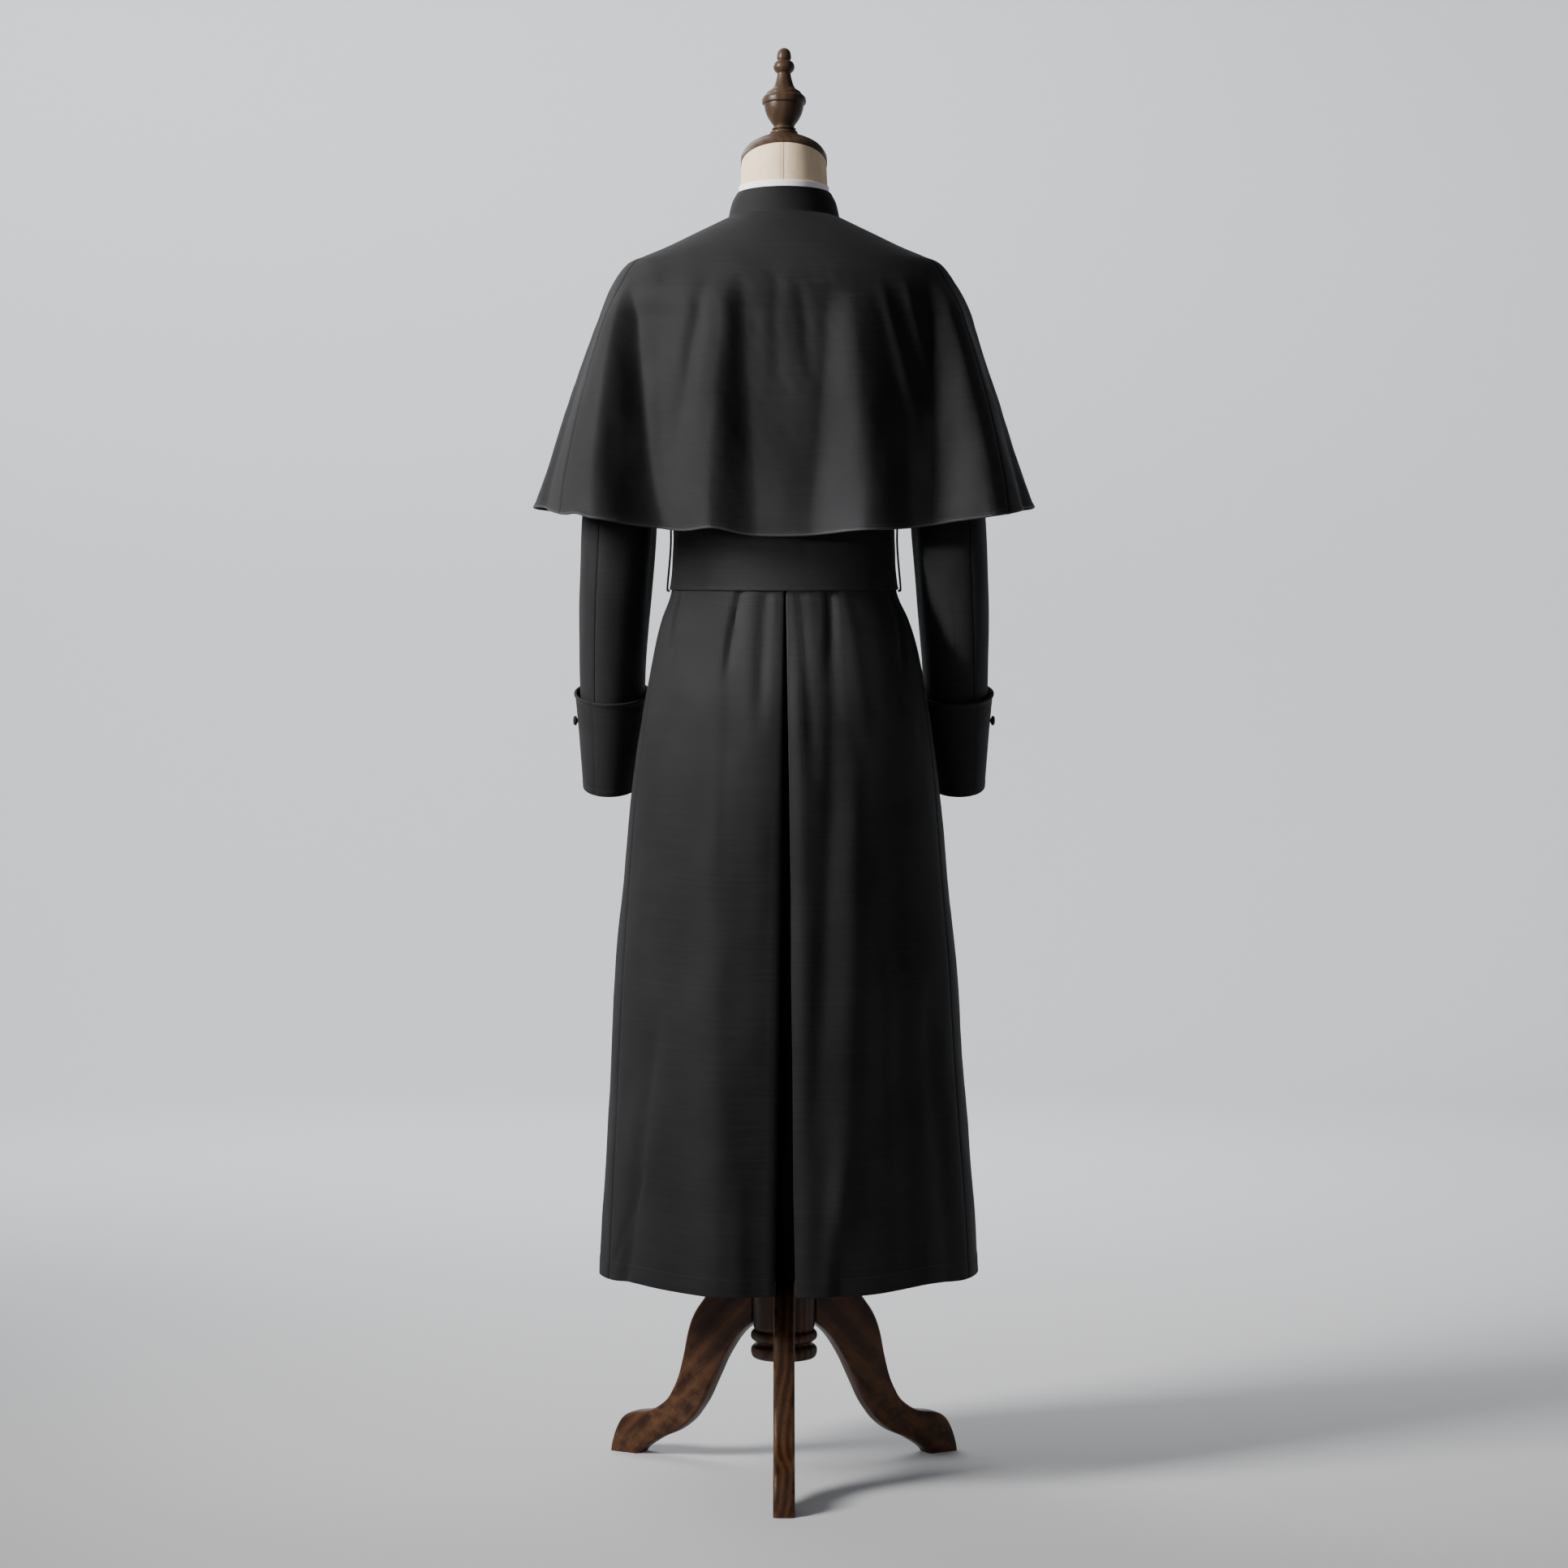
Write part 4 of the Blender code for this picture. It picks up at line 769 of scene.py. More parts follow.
def backPanel(sign):
    # a back panel, whose centre edge turns in toward the strip behind the pleat
    heights = panelHeights(bodySizes["hem"], bodySizes["neckline"])
    pleat = pleatTable.straight(heights)
    offset = (pleat.left if sign > 0 else pleat.right) + sign * bodySizes["wall"] / 2
    row = bodyRow(heights)
    fold = np.degrees(np.arcsin(offset / np.where(offset > 0, row.left, row.right)))
    side = sign * sideAngle(heights)
    side = side - sign * seamTurn(side, heights)
    roll = np.full_like(heights, bodySizes["crispRoll"])
    wide = roll
    if sign > 0:
        roll = np.minimum(bodySizes["rollShare"] * pleat.depth, bodySizes["rollMost"])
        wide = roll * bodySizes["rollSpread"]
    start = fold + sign * wide / ringSpeed(fold, heights)
    angles = spreadAngles(*(start, side)[::sign], heights, bodySizes["columns"])
    sewn = (0, 1)[::sign]
    panel = hungPanel(angles, heights, 11 + sign, sewn)

    edge = panel[:, :1] if sign > 0 else panel[:, -1:]
    turn = np.radians(np.linspace(0, 90, 9))[1:]
    arc = edge + stack(-sign * np.sin(turn) * wide[:, None],
                       (np.cos(turn) - 1) * roll[:, None], 0.0)
    inner = arc[:, -1:]
    deep = (bodyPoint(fold, heights, False)[:, 1] - pleat.depth)[:, None] - inner[..., 1]
    tail = np.concatenate([arc, inner + stack(0.0, deep * np.linspace(0, 1, 5)[1:], 0.0)], 1)
    points = np.concatenate([tail[:, ::-1], panel] if sign > 0 else [panel, tail], 1)
    clothPiece("back" + sides[sign], points, bodySizes, skirtWool, sewn=sewn)


def pleatStrip():
    # the strip behind the pleat, which reaches past both turned-in edges
    heights = panelHeights(bodySizes["stripHem"], bodySizes["stripTop"])
    pleat = pleatTable.straight(heights)
    row = bodyRow(heights)
    low = np.degrees(np.arcsin(-pleat.reach / row.right))
    high = np.degrees(np.arcsin(pleat.reach / row.left))
    angles = spreadAngles(low, high, heights, bodySizes["stripColumns"])
    inward = pleat.depth + common["seamGap"] + bodySizes["wall"] / 2
    points = bodyPoint(angles, heights[:, None], False) - stack(0.0, inward[:, None], 0.0)
    # its wool is painted near black, for the shade deep in the pleat
    clothPiece("pleatStrip", points, {"wall": bodySizes["wall"]}, pleatWool, node="back_pleat",
               sewn=(0, 0))


def frontPanel(sign):
    # The left front lies plain past the centre. The right one steps in under it.
    heights = panelHeights(bodySizes["hem"], bodySizes["neckline"])
    seam = sideAngle(heights)
    beside = (heights > bodySizes["armpit"]) & (heights < bodySizes["shoulderTip"])
    seam = np.where(beside, 180.0 - seam, seam)
    past = 180.0 + np.degrees(np.arcsin(bodySizes["lap"] / bodyRow(heights).left))
    angles = spreadAngles(seam + seamTurn(seam, heights), past, heights, bodySizes["columns"] + 4)
    angles = sign * angles[:, ::sign]
    sewn = (1, 0)[::sign]
    points = hungPanel(angles, heights, 23 + sign, sewn)
    if sign < 0:
        under = smoothStep((points[..., 0] + bodySizes["stepReach"]) / bodySizes["stepRun"])
        under = under * (np.abs(angles) > 100) * bodySizes["stepDepth"]  # not at the side seam
        points = points - outward(points) * under[..., None]
    clothPiece("front" + sides[sign], points, bodySizes, skirtWool, sewn=sewn)


for sign in sides:
    backPanel(sign)
    frontPanel(sign)
pleatStrip()
print("body: two backs, the strip behind the pleat, two fronts")


# Sleeves and cuffs

# The left sleeve from crown to wrist: its lean, its inner and outer points, its middle and
# half size fore and aft.
sleeveRings = Table("pitch | inX inZ outX outZ midY depth", [
    (0, 174.5, 1442.5, 197.5, 1566, 0, 60), (0, 178.5, 1434, 215, 1543, 0, 59.5),
    (1, 178.5, 1415, 230, 1498, 1, 60), (2, 175.5, 1385, 243, 1433, 0, 61),
    (6, 170, 1320, 256, 1333, -6, 60), (11, 167, 1245, 263.5, 1245, -15, 58.5),
    (15, 174.5, 1150, 268.5, 1150, -31, 57), (17, 183, 1060, 270, 1060, -56, 55.5),
    (17, 187.5, 985, 269, 985, -79, 53), (17, 199, 894, 265.5, 894, -106, 50),
])
# Creases between two stations of a sleeve: 0 is its outer edge, 90 the back, 270 the front.
sleeveCreases = Table("angleTop angleLow width top low | rise", [
    (96, 88, 17, 3.2, 8.4, -1.6), (35, 42, 13, 3.6, 8.2, 1), (140, 128, 15, 3, 7.6, 1.4),
    (166, 158, 9, 4.8, 7.8, -1.6), (236, 300, 9, 5.1, 6.2, -3.6), (300, 228, 9, 5.7, 6.6, -3),
    (250, 285, 12, 6.3, 7.2, 1.8), (215, 262, 8, 4.4, 5.3, -2), (318, 334, 12, 3, 6.6, 1.2),
])
sleeveSizes = {
    "wall": 0.0016, "foot": (0.022, 0.0022, 0.0016),
    "half": 0.057,  # about half the sleeve's width, which spaces its columns
    "backSeam": 60.0, "frontSeam": 225.0, "end": 9.97, "rows": 150,
    "columns": {"Upper": 44, "Under": 32}, "seeds": {"Upper": 38, "Under": 31},
    "ripples": ((0, 0.00055, 0.075),),
}
cuffSizes = {
    "wall": 0.0020,
    "rim": (0.0060, 0.0036, 0.0012),  # the rolled upper rim
    "foot": (0.0095, 0.0030, 0.0012),
    "grooves": (0.0008, 0.0007),  # how deep the grooves beside the rim and the foot are
    "grooveOff": 0.0012, "grooveHalf": 0.0014,
    "rimRise": 0.0007, "rimSoft": 0.004,
    "seam": 0.0006, "height": 0.142,
    "levels": ((8.55, 0.0068), (8.80, 0.0056), (9.20, 0.0040), (10.0, 0.0024)),
    "rows": 34, "columns": 84, "buttonStation": 9.05,
}


def armholePoint(angle):
    # the left armhole; 0 is the shoulder tip and 90 faces back
    turn = np.radians(angle)
    low, high = bodySizes["armpit"], bodySizes["shoulderTip"]
    height = low + (high - low) * (1 + np.cos(turn)) / 2
    return bodyPoint(90.0 - bodySizes["armSweep"] * np.sin(turn), height, False)


def sleeveStart(angle):
    # the sleeve's first ring, just inside the armhole
    point = armholePoint(angle)
    centre = (armholePoint(0.0) + armholePoint(180.0)) / 2
    inward = (centre - point) * np.array([0.0, 1.0, 1.0])
    return point + unit(inward) * (common["seamGap"] * 1.5 + sleeveSizes["wall"] / 2)


def sleevePoint(angle, station, creased=True):
    row = sleeveRings.at(station - 1)
    turn = np.radians(angle)
    inner = stack(row.inX, row.midY, row.inZ)
    outer = stack(row.outX, row.midY, row.outZ)
    pitch = np.radians(row.pitch)
    back = stack(0.0, np.cos(pitch) * row.depth, -np.sin(pitch) * row.depth)
    spoke = (outer - inner) / 2 * np.cos(turn)[..., None] + back * np.sin(turn)[..., None]
    point = (inner + outer) / 2 + spoke
    if creased:
        point = point + unit(spoke) * sleeveRise(angle, station)[..., None]
    blend = np.clip(station, 0, 1)[..., None]
    return sleeveStart(angle) * (1 - blend) + point * blend


def sleeveRise(angle, station):
    total = 0.0
    for angleTop, angleLow, width, top, low, rise in sleeveCreases.rows:
        run = (station - top) / (low - top)
        centre = angleTop + (angleLow - angleTop) * run
        total = total + rise * bell(angle, centre, width) * between(run, 0.35)
    return total


def mirrored(points, sign):
    # the left side's points, or the right side's with its columns turned round to match
    return points[:, ::sign] * np.array([sign, 1.0, 1.0])


def sleevePiece(sign, part):
    sizes = sleeveSizes
    start, end = sizes["backSeam"], sizes["frontSeam"]
    if part == "Upper":
        start, end = end - 360.0, start
    gap = math.degrees(common["seamHalf"] / sizes["half"])
    length = math.radians(end - start) * sizes["half"]
    angles = spread(start + gap, end - gap, length, sizes["columns"][part])
    stations = spread(0, sizes["end"], 1, sizes["rows"])[::-1, None]
    angles, stations = np.broadcast_arrays(angles, stations)
    # angles grow from the outer edge toward the back, so the columns turn round
    points = mirrored(sleevePoint(angles, stations)[:, ::-1], sign)
    loose = smoothStep((stations - 1.5) / 1.5) * smoothStep((9.4 - stations) / 0.8)
    points = uneven(points, sizes["seeds"][part] + sign, sizes, (1, 1), loose)
    clothPiece("sleeve" + sides[sign] + part, points, sizes, sleeveWool)


def sleeveLifted(angle, station, lift):
    # a point off the uncreased left sleeve along its own normal
    across = sleevePoint(angle + 0.5, station, False) - sleevePoint(angle - 0.5, station, False)
    along = sleevePoint(angle, station + 0.02, False) - sleevePoint(angle, station - 0.02, False)
    normal = unit(np.cross(along, across))
    return sleevePoint(angle, station, False) + normal * np.asarray(lift)[..., None]


def cuff(sign):
    # a turned-back cuff that stands off the sleeve at its upper edge
    sizes = cuffSizes
    height, columns = sizes["height"], sizes["columns"]
    levels, lifts = zip(*sizes["levels"])
    stations = spread(levels[0], levels[-1], height, sizes["rows"])[::-1, None]
    angles, stations = np.broadcast_arrays(-turnAngles(columns), stations)
    lift = np.interp(stations, levels, lifts)
    fromTop = (stations - levels[0]) / (levels[-1] - levels[0]) * height
    for edge, distance, deep in zip(("rim", "foot"), (fromTop, height - fromTop), sizes["grooves"]):
        past = (distance - sizes[edge][0] - sizes["grooveOff"]) / sizes["grooveHalf"]
        lift = lift - deep * np.exp(-past ** 2)
    rim = smoothStep((sizes["rim"][0] - fromTop) / sizes["rimSoft"])
    lift = lift + sizes["rimRise"] * rim
    seamColumn = round((1 - sleeveSizes["backSeam"] / 360.0) * columns)
    lift[:, seamColumn] -= sizes["seam"]
    points = mirrored(sleeveLifted(angles, stations, lift), sign)
    side = sides[sign]
    clothPiece("cuff" + side, points, sizes, cuffWool,
               closed=True,
               seamColumn=seamColumn if sign > 0 else columns - 1 - seamColumn)


for sign in sides:
    sleevePiece(sign, "Upper")
    sleevePiece(sign, "Under")
    cuff(sign)
print("sleeves in two pieces each, with turned-back cuffs")


# Band and its thread loops

bandSizes = {
    "wall": 0.0016, "foot": (0.0045, 0.0023, 0.001), "rim": (0.0045, 0.0023, 0.001),
    "backSag": 0.009,  # the lower edge dips at the centre back
    "lift": 0.0028, "ripple": 0.0004, "rows": 26, "columns": 200,
}
loopSizes = {
    "thread": 0.0014, "sides": 10, "steps": 90,
    "reach": 0.0026,  # past the band, above and below
    "clear": 0.0023,  # off the band
    "bow": 0.0008, "bend": 0.007,
}


def waistBand():
    sizes = bandSizes
    bottom, height = bodySizes["bandBottom"], bodySizes["bandTop"] - bodySizes["bandBottom"]
    share = spread(0, 1, height, sizes["rows"])[:, None]
    angles = turnAngles(sizes["columns"])
    turn = np.radians(angles)
    dip = sizes["backSag"] * np.maximum(0.0, np.cos(turn))
    level = bottom + height * share - dip * (1 - share)
    # soft lengthwise folds where the cloth is drawn round the waist
    pull = 0.6 * np.sin(share * 9.0 + 1.3 * np.sin(turn * 2 + 0.6)) * np.sin(turn * 3 + 1.0) ** 2
    pull = pull + 0.5 * np.sin(share * 17.0 + turn * 1.5)
    swell = sizes["ripple"] * (pull + 0.6) * np.sin(math.pi * share) ** 0.5
    points = bodyPoint(angles, level, False, sizes["lift"] + swell)
    clothPiece("waistBand", points, sizes, bandSilk, "band",
               closed=True)


def bandLoop(sign):
    # a twisted thread from below the band to above it, clear of the band between
    sizes = loopSizes
    bottom, top = bodySizes["bandBottom"], bodySizes["bandTop"]
    heights = (bottom - sizes["reach"], (bottom + top) / 2, top + sizes["reach"])
    low, middle, high = (bodyPoint(sign * 90.0, height, False) for height in heights)
    seat = bodySizes["wall"] / 2 + common["seamGap"] + sizes["thread"] * 1.2
    off = bandSizes["lift"] + bodySizes["wall"] / 2 + sizes["clear"]
    bend = sizes["bend"]
    track = Table("x y z", [start + np.array([sign * out, 0.0, up]) for start, out, up in (
        (low, seat, 0.0), (low, off * 0.8, bend / 4), (low, off, bend),
        (middle, off + sizes["bow"], 0.0),
        (high, off, -bend), (high, off * 0.8, -bend / 4), (high, seat, 0.0))])
    at = track.at(np.linspace(0, track.last, sizes["steps"]))
    line = stack(at.x, at.y, at.z)

    # a closed round tube, whose UV map has v along it and u once round it
    ahead = unit(np.gradient(line, axis=0))
    one = unit(np.cross(ahead, np.array([0.0, 1.0, 0.0])))[:, None]
    two = np.cross(ahead[:, None], one)
    turn = np.radians(turnAngles(sizes["sides"]))[0, :, None]
    rings = line[:, None] + sizes["thread"] * (one * np.cos(turn) + two * np.sin(turn))
    along = np.repeat(runLengths(line[:, None], 0), sizes["sides"] + 1, 1)
    around = np.broadcast_to(np.linspace(0, 1, sizes["sides"] + 1), along.shape)
    item = gridMesh("bandLoop" + sides[sign], rings, around, along, closed=True, capped=True)
    faceOutward(item)
    item.data.shade_smooth()
    settle(item, loopThread)


waistBand()
for sign in sides:
    bandLoop(sign)
print("band and its loops")


# Shoulder cape

capeRings = Table("| left sideZ back backZ front frontZ", [
    (73.8, 1632.5, 65.7, 1632.5, 63.2, 1604.5), (119, 1610.3, 79, 1615.5, 77, 1591.8),
    (158, 1591.6, 92, 1597.5, 90, 1576.9), (187, 1580, 103, 1580, 100.5, 1562),
    (206.5, 1571, 113, 1562, 110, 1546.2), (226.5, 1541, 127.5, 1536, 125, 1526.9),
    (242.7, 1500, 145.5, 1499, 136, 1496.2), (258.2, 1457, 157, 1455, 143, 1460.3),
    (273.2, 1413, 165, 1410, 147, 1423.5), (287.7, 1370, 172, 1366, 154.5, 1386.6),
    (302.2, 1323, 179, 1315, 162, 1344.6), (315, 1285, 185.5, 1262, 169, 1300.7),
    (323.8, 1257, 191, 1207.5, 175, 1256),
])
# Flanks of the back's flutes: angle and width at the hem and at the top, how far down the cape
# each starts (0 the collar, 1 the hem), and how much farther out the cloth lies past it.
capeFlanks = Table("angleHem angleTop wideHem wideTop start | rise", [
    (60, 72, 24, 18, 0.38, 30), (37.2, 62, 14.5, 5, 0.4, -70), (22.5, 38, 13, 24, 0.4, 24),
    (12.2, 17, 12.5, 6, 0.37, -30), (-13, -19, 14, 8, 0.4, 37), (-26.5, -30, 13, 15, 0.41, -21),
    (-45, -58.5, 14, 7, 0.38, 54), (-65, -72, 22, 18, 0.38, -24),
])
# softer flutes at the sides and front
capeFlutes = Table("angleHem angleTop widthLess widthMore start | rise", [
    (76, 84, 6, 6, 0.45, -8), (-76, -84, 6, 6, 0.45, -8), (97, 98, 7, 7, 0.45, 5),
    (-98, -98, 7, 7, 0.45, 5), (126, 133, 6, 5.2, 0.42, -18), (-124, -132, 5.2, 6, 0.42, -19),
    (141, 143, 6, 6, 0.4, 7), (-139, -143, 6, 6, 0.4, 7), (154, 156, 4.5, 4.5, 0.45, -11),
    (-155, -156, 4.5, 4.5, 0.45, -10),
])
capeCreases = Table("angleHigh angleLow width top low | rise", [
    (26, 28.5, 2.8, 0.36, 0.88, -5.2), (3.5, 1, 2.5, 0.34, 0.74, -2.2),
    (-4.5, -8, 2.2, 0.36, 0.72, -2), (-32, -37.5, 2.4, 0.38, 0.8, 4.8),
    (-42, -45, 2.2, 0.38, 0.66, 3.6), (112, 110, 3, 0.4, 0.85, -2.2),
    (-111, -113, 3, 0.36, 0.8, -2.4),
])
capeDips = Table("angle width | rise", [(16.5, 5, 5.5), (49, 3, 3.5), (-15, 8, 2)])
capeSizes = {
    "wall": 0.0018, "foot": (0.0060, 0.0032, 0.0012),
    "opening": (0.012, 0.045),  # half the front opening at the collar and at the hem
    "seam": (76.0, 56.0),  # angle of the side seams at the collar and at the hem
    "length": 0.46,
    "halfWidth": (0.07, 0.22),  # about half the cape's width there, which spaces columns
    "reach": (0.06, 0.21),  # about how far the side seams run from the middle
    "rows": 96, "ripples": ((0, 0.0011, 0.085), (9, 0.00033, 0.030)),
    "lip": 0.0010,  # the hem turns out a little at its very edge
}


def alongCape(key, part):
    top, hem = capeSizes[key]
    return top + (hem - top) * part


def capePoint(angle, part):
    # part runs from 0 at the collar to 1 at the hem
    row = capeRings.at(part * capeRings.last)
    cosine = np.cos(np.radians(angle))
    share = np.abs(cosine) ** 1.6
    end = np.where(cosine > 0, row.backZ, row.frontZ)
    dips = bells(capeDips, angle) * smoothStep((part - 0.90) / 0.10)
    row.height = row.sideZ * (1 - share) + end * share + dips
    row.drop = 0.0
    return ringPoint(row, angle, capeRise(angle, part))


def capeRise(angle, part):
    rise = 0.0
    for angleHem, angleTop, wideHem, wideTop, start, high in capeFlanks.rows:
        run = np.maximum((part - start) / (1 - start), 0.0)
        centre = angleTop + (angleHem - angleTop) * run ** 0.8
        wide = wideTop + (wideHem - wideTop) * run
        passed = smoothStep((centre - angleBetween(angle, 0.0)) / wide + 0.5)
        rise = rise + high * passed * run ** 0.6 * smoothStep(run / 0.20)
    for angleHem, angleTop, less, more, start, high in capeFlutes.rows:
        run = np.maximum((part - start) / (1 - start), 0.0)
        flute = bell(angle, angleTop + (angleHem - angleTop) * run, less, more)
        rise = rise + high * flute * run ** 0.8 * smoothStep(run / 0.12)
    for angleHigh, angleLow, width, top, low, high in capeCreases.rows:
        run = (part - top) / (low - top)
        crease = bell(angle, angleHigh + (angleLow - angleHigh) * run, width)
        rise = rise + high * crease * between(run, 0.4)
    return rise


def capeFront(part):
    # the angle of the cape's front edge
    side = capeRings.at(part * capeRings.last).left
    return 180.0 - np.degrees(np.arcsin(alongCape("opening", part) / side))


def capePanel(side, start, end, columns, seed, sewn):
    sizes = capeSizes
    parts = spread(0, 1, sizes["length"], sizes["rows"])[::-1]
    low, high = start(parts), end(parts)
    width = np.radians(high - low) * alongCape("halfWidth", parts)
    angles = spread(low, high, width, columns)
    parts = parts[:, None]
    loose = smoothStep((parts - 0.20) / 0.35)
    points = uneven(capePoint(angles, parts), seed, sizes, sewn, loose, sizes["lip"])
    clothPiece("cape" + side, points, sizes, capeWool, sewn=sewn)


def capeSeam(part, room):
    # room is 1 toward the front and -1 toward the back
    turn = np.degrees(common["seamHalf"] / alongCape("reach", part))
    return alongCape("seam", part) + room * turn


capePanel("Back", lambda part: -capeSeam(part, -1), lambda part: capeSeam(part, -1), 150, 61,
          (1, 1))
capePanel("Left", lambda part: capeSeam(part, 1), capeFront, 84, 67, (1, 0))
capePanel("Right", lambda part: -capeFront(part), lambda part: -capeSeam(part, 1), 84, 71, (0, 1))
print("cape: back and two sides")


# Collars

collarSizes = {
    "rings": Table("| left back front height drop", [
        (72.2, 63.6, 61.4, 1631.8, 28), (69.9, 62.2, 60.4, 1644, 27.5),
        (66.4, 60.8, 59.6, 1656, 26.5), (60.4, 60, 59, 1665.7, 25),
    ]),
    "wall": 0.0016, "foot": (0.0042, 0.0024, 0.001), "rim": (0.0042, 0.0024, 0.001),
    "height": 0.036,
    "open": 2.6,  # degrees from the centre front to each end
    "radius": 0.066, "rows": 14, "columns": 150,
}
whiteSizes = {
    "rings": Table("| left back front height drop", [
        (64.6, 58.8, 57.8, 1652, 26.2), (58.6, 58.2, 57.1, 1664.8, 25),
        (58.5, 58.1, 57, 1674.4, 24),
    ]),
    "wall": 0.0012, "height": 0.023, "rows": 12, "columns": 150,
}


def collar(name, node, sizes, material):
    # a collar, open in front or closed all round
    rings = sizes["rings"]
    stations = spread(0, rings.last, sizes["height"], sizes["rows"])[:, None]
    closed = "open" not in sizes
    angles = turnAngles(sizes["columns"])
    if not closed:
        reach = 180.0 - sizes["open"]
        length = 2 * math.radians(reach) * sizes["radius"]
        angles = spread(-reach, reach, length, sizes["columns"])[None]
    points = ringPoint(rings.at(stations), angles)
    clothPiece(name, points, sizes, material, node, closed=closed, sewn=(0, 0))


collar("standCollar", "collar", collarSizes, collarWool)
collar("collarWhite", None, whiteSizes, whiteLinen)
print("collars")


# Pieces modelled in edit mode

def startPiece(name, add, **settings):
    # a primitive at its place, opened in edit mode with all of it selected
    chooseOnly(None)
    add(**settings)
    item = bpy.context.object
    item.name = name
    bpy.ops.object.transform_apply(location=True, rotation=True)
    bpy.ops.object.mode_set(mode="EDIT")
    bpy.ops.mesh.select_all(action="SELECT")
    return item


def endPiece(item, inside=False):
    bpy.ops.mesh.select_all(action="SELECT")
    bpy.ops.mesh.normals_make_consistent(inside=inside)
    bpy.ops.object.mode_set(mode="OBJECT")
    item.data.shade_smooth()
    return item


def drawUp(rings, y=0.0):
    # draws the selected disc up through rings, given as radius and height
    for (radius, low), (nextRadius, high) in zip(rings, rings[1:]):
        bpy.ops.mesh.extrude_region_move(TRANSFORM_OT_translate={"value": (0, 0, high - low)})
        share = nextRadius / radius
        bpy.ops.transform.resize(value=(share, share, 1), center_override=(0, y, high))


def copied(model, name):
    item = bpy.data.objects.new(name, model.data.copy())
    bpy.context.scene.collection.objects.link(item)
    return item


# Buttons

buttonSizes = {
    "radius": 0.0062, "rise": 0.0036, "segments": 24, "rings": 12,
    "full": ((-0.75, 1.06), (0.20, 1.03), (0.45, 1.07), (0.65, 1.12), (0.80, 1.14), (0.92, 1.18)),
    "first": 1.580, "last": 0.330, "pitch": 0.050,
    "belowBand": 0.032,  # none within this much of the band
    "aboveBand": 0.012,
}


def pick(item, test):
    # selects the vertices that pass a test, in edit mode
    work = bmesh.from_edit_mesh(item.data)
    for vert in work.verts:
        vert.select_set(bool(test(vert.co)))
    work.select_flush_mode()
    bmesh.update_edit_mesh(item.data)


def modelButton():
    # a ball pressed flat, with cloth drawn over its crown and a short shank behind
    sizes = buttonSizes
    radius, rise = sizes["radius"], sizes["rise"]
    item = startPiece("button", bpy.ops.mesh.primitive_uv_sphere_add, radius=radius,
                      segments=sizes["segments"], ring_count=sizes["rings"])
    bpy.ops.transform.resize(value=(1, 1, rise / radius))
    pick(item, lambda co: co.z < -rise * 0.1)
    bpy.ops.transform.resize(value=(0.93, 0.93, 0.62), center_override=(0, 0, -rise * 0.1))
    for level, share in sizes["full"]:
        pick(item, lambda co: co.z > rise * level)
        bpy.ops.transform.resize(value=(share, share, 1), center_override=(0, 0, 0))
    pick(item, lambda co: co.z < -rise * 0.55 and co.xy.length < radius * 0.35)
    bpy.ops.transform.translate(value=(0, 0, -rise * 0.36))
    return endPiece(item)


def placeButton(model, name, normal):
    # a copy in the middle of its node's box, its crown outward
    item = copied(model, name)
    low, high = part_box(nodeName(name))
    turn = Vector(normal).to_track_quat("Z", "Y").to_matrix().to_4x4()
    turn.translation = (low + high) / 2
    item.data.transform(turn)
    settle(item, coveredCloth)


def buttonHeights():
    sizes = buttonSizes
    count = int((sizes["first"] - sizes["last"]) / sizes["pitch"]) + 1
    heights = [sizes["first"] - i * sizes["pitch"] for i in range(count)]
    low = bodySizes["bandBottom"] - sizes["belowBand"]
    high = bodySizes["bandTop"] + sizes["aboveBand"]
    return [height for height in heights if not low < height < high]


def frontNormal(height):
    # the cloth's own normal at the centre front
    height = height + float(bodyRow(height).drop)
    up = bodyPoint(180.0, height + 0.004) - bodyPoint(180.0, height - 0.004)
    return unit(np.array([0.0, -up[2], up[1]]))


buttonModel = modelButton()
for number, height in enumerate(buttonHeights(), start=1):
    placeButton(buttonModel, f"frontButton{number:02d}", frontNormal(height))
for sign in sides:
    off, on = (sleeveLifted(0.0, cuffSizes["buttonStation"], lift) for lift in (0.01, 0.0))
    placeButton(buttonModel, "cuffButton" + sides[sign], unit((off - on) * [sign, 1.0, 1.0]))
bpy.data.objects.remove(buttonModel)
print("covered buttons:", len(buttonHeights()), "in front and one on each cuff")


# Dress form

formSizes = {
    "insets": Table("| height side middle", [
        (900, 46, 38), (915, 36, 30), (970, 26, 22), (1068, 18, 16), (1146, 9, 10), (1200, 7, 9),
        (1350, 7, 8), (1440, 7, 8), (1500, 6, 7), (1545, 5, 7), (1576, 3.4, 6), (1588, 1.8, 5.5),
        (1607, 1.5, 5.5), (1629, 1.5, 4.5),
    ]),
    "neck": Table("| left back front height drop tilt", [
        (63.5, 56.8, 54.6, 1634.5, 27, 0), (59.8, 56.2, 54.8, 1645, 24, 0),
        (57.7, 56, 55.2, 1664, 17, 1.5), (56.4, 55.8, 55.4, 1687, 6, 8.5),
        (55.5, 55.5, 55.5, 1704.5, 0, 18.1),
    ]),
    "bottom": 0.900, "columns": 120, "neckRows": 26, "seamDip": 0.0006, "seamReach": 0.0018,
    "sharp": 60.0,
}


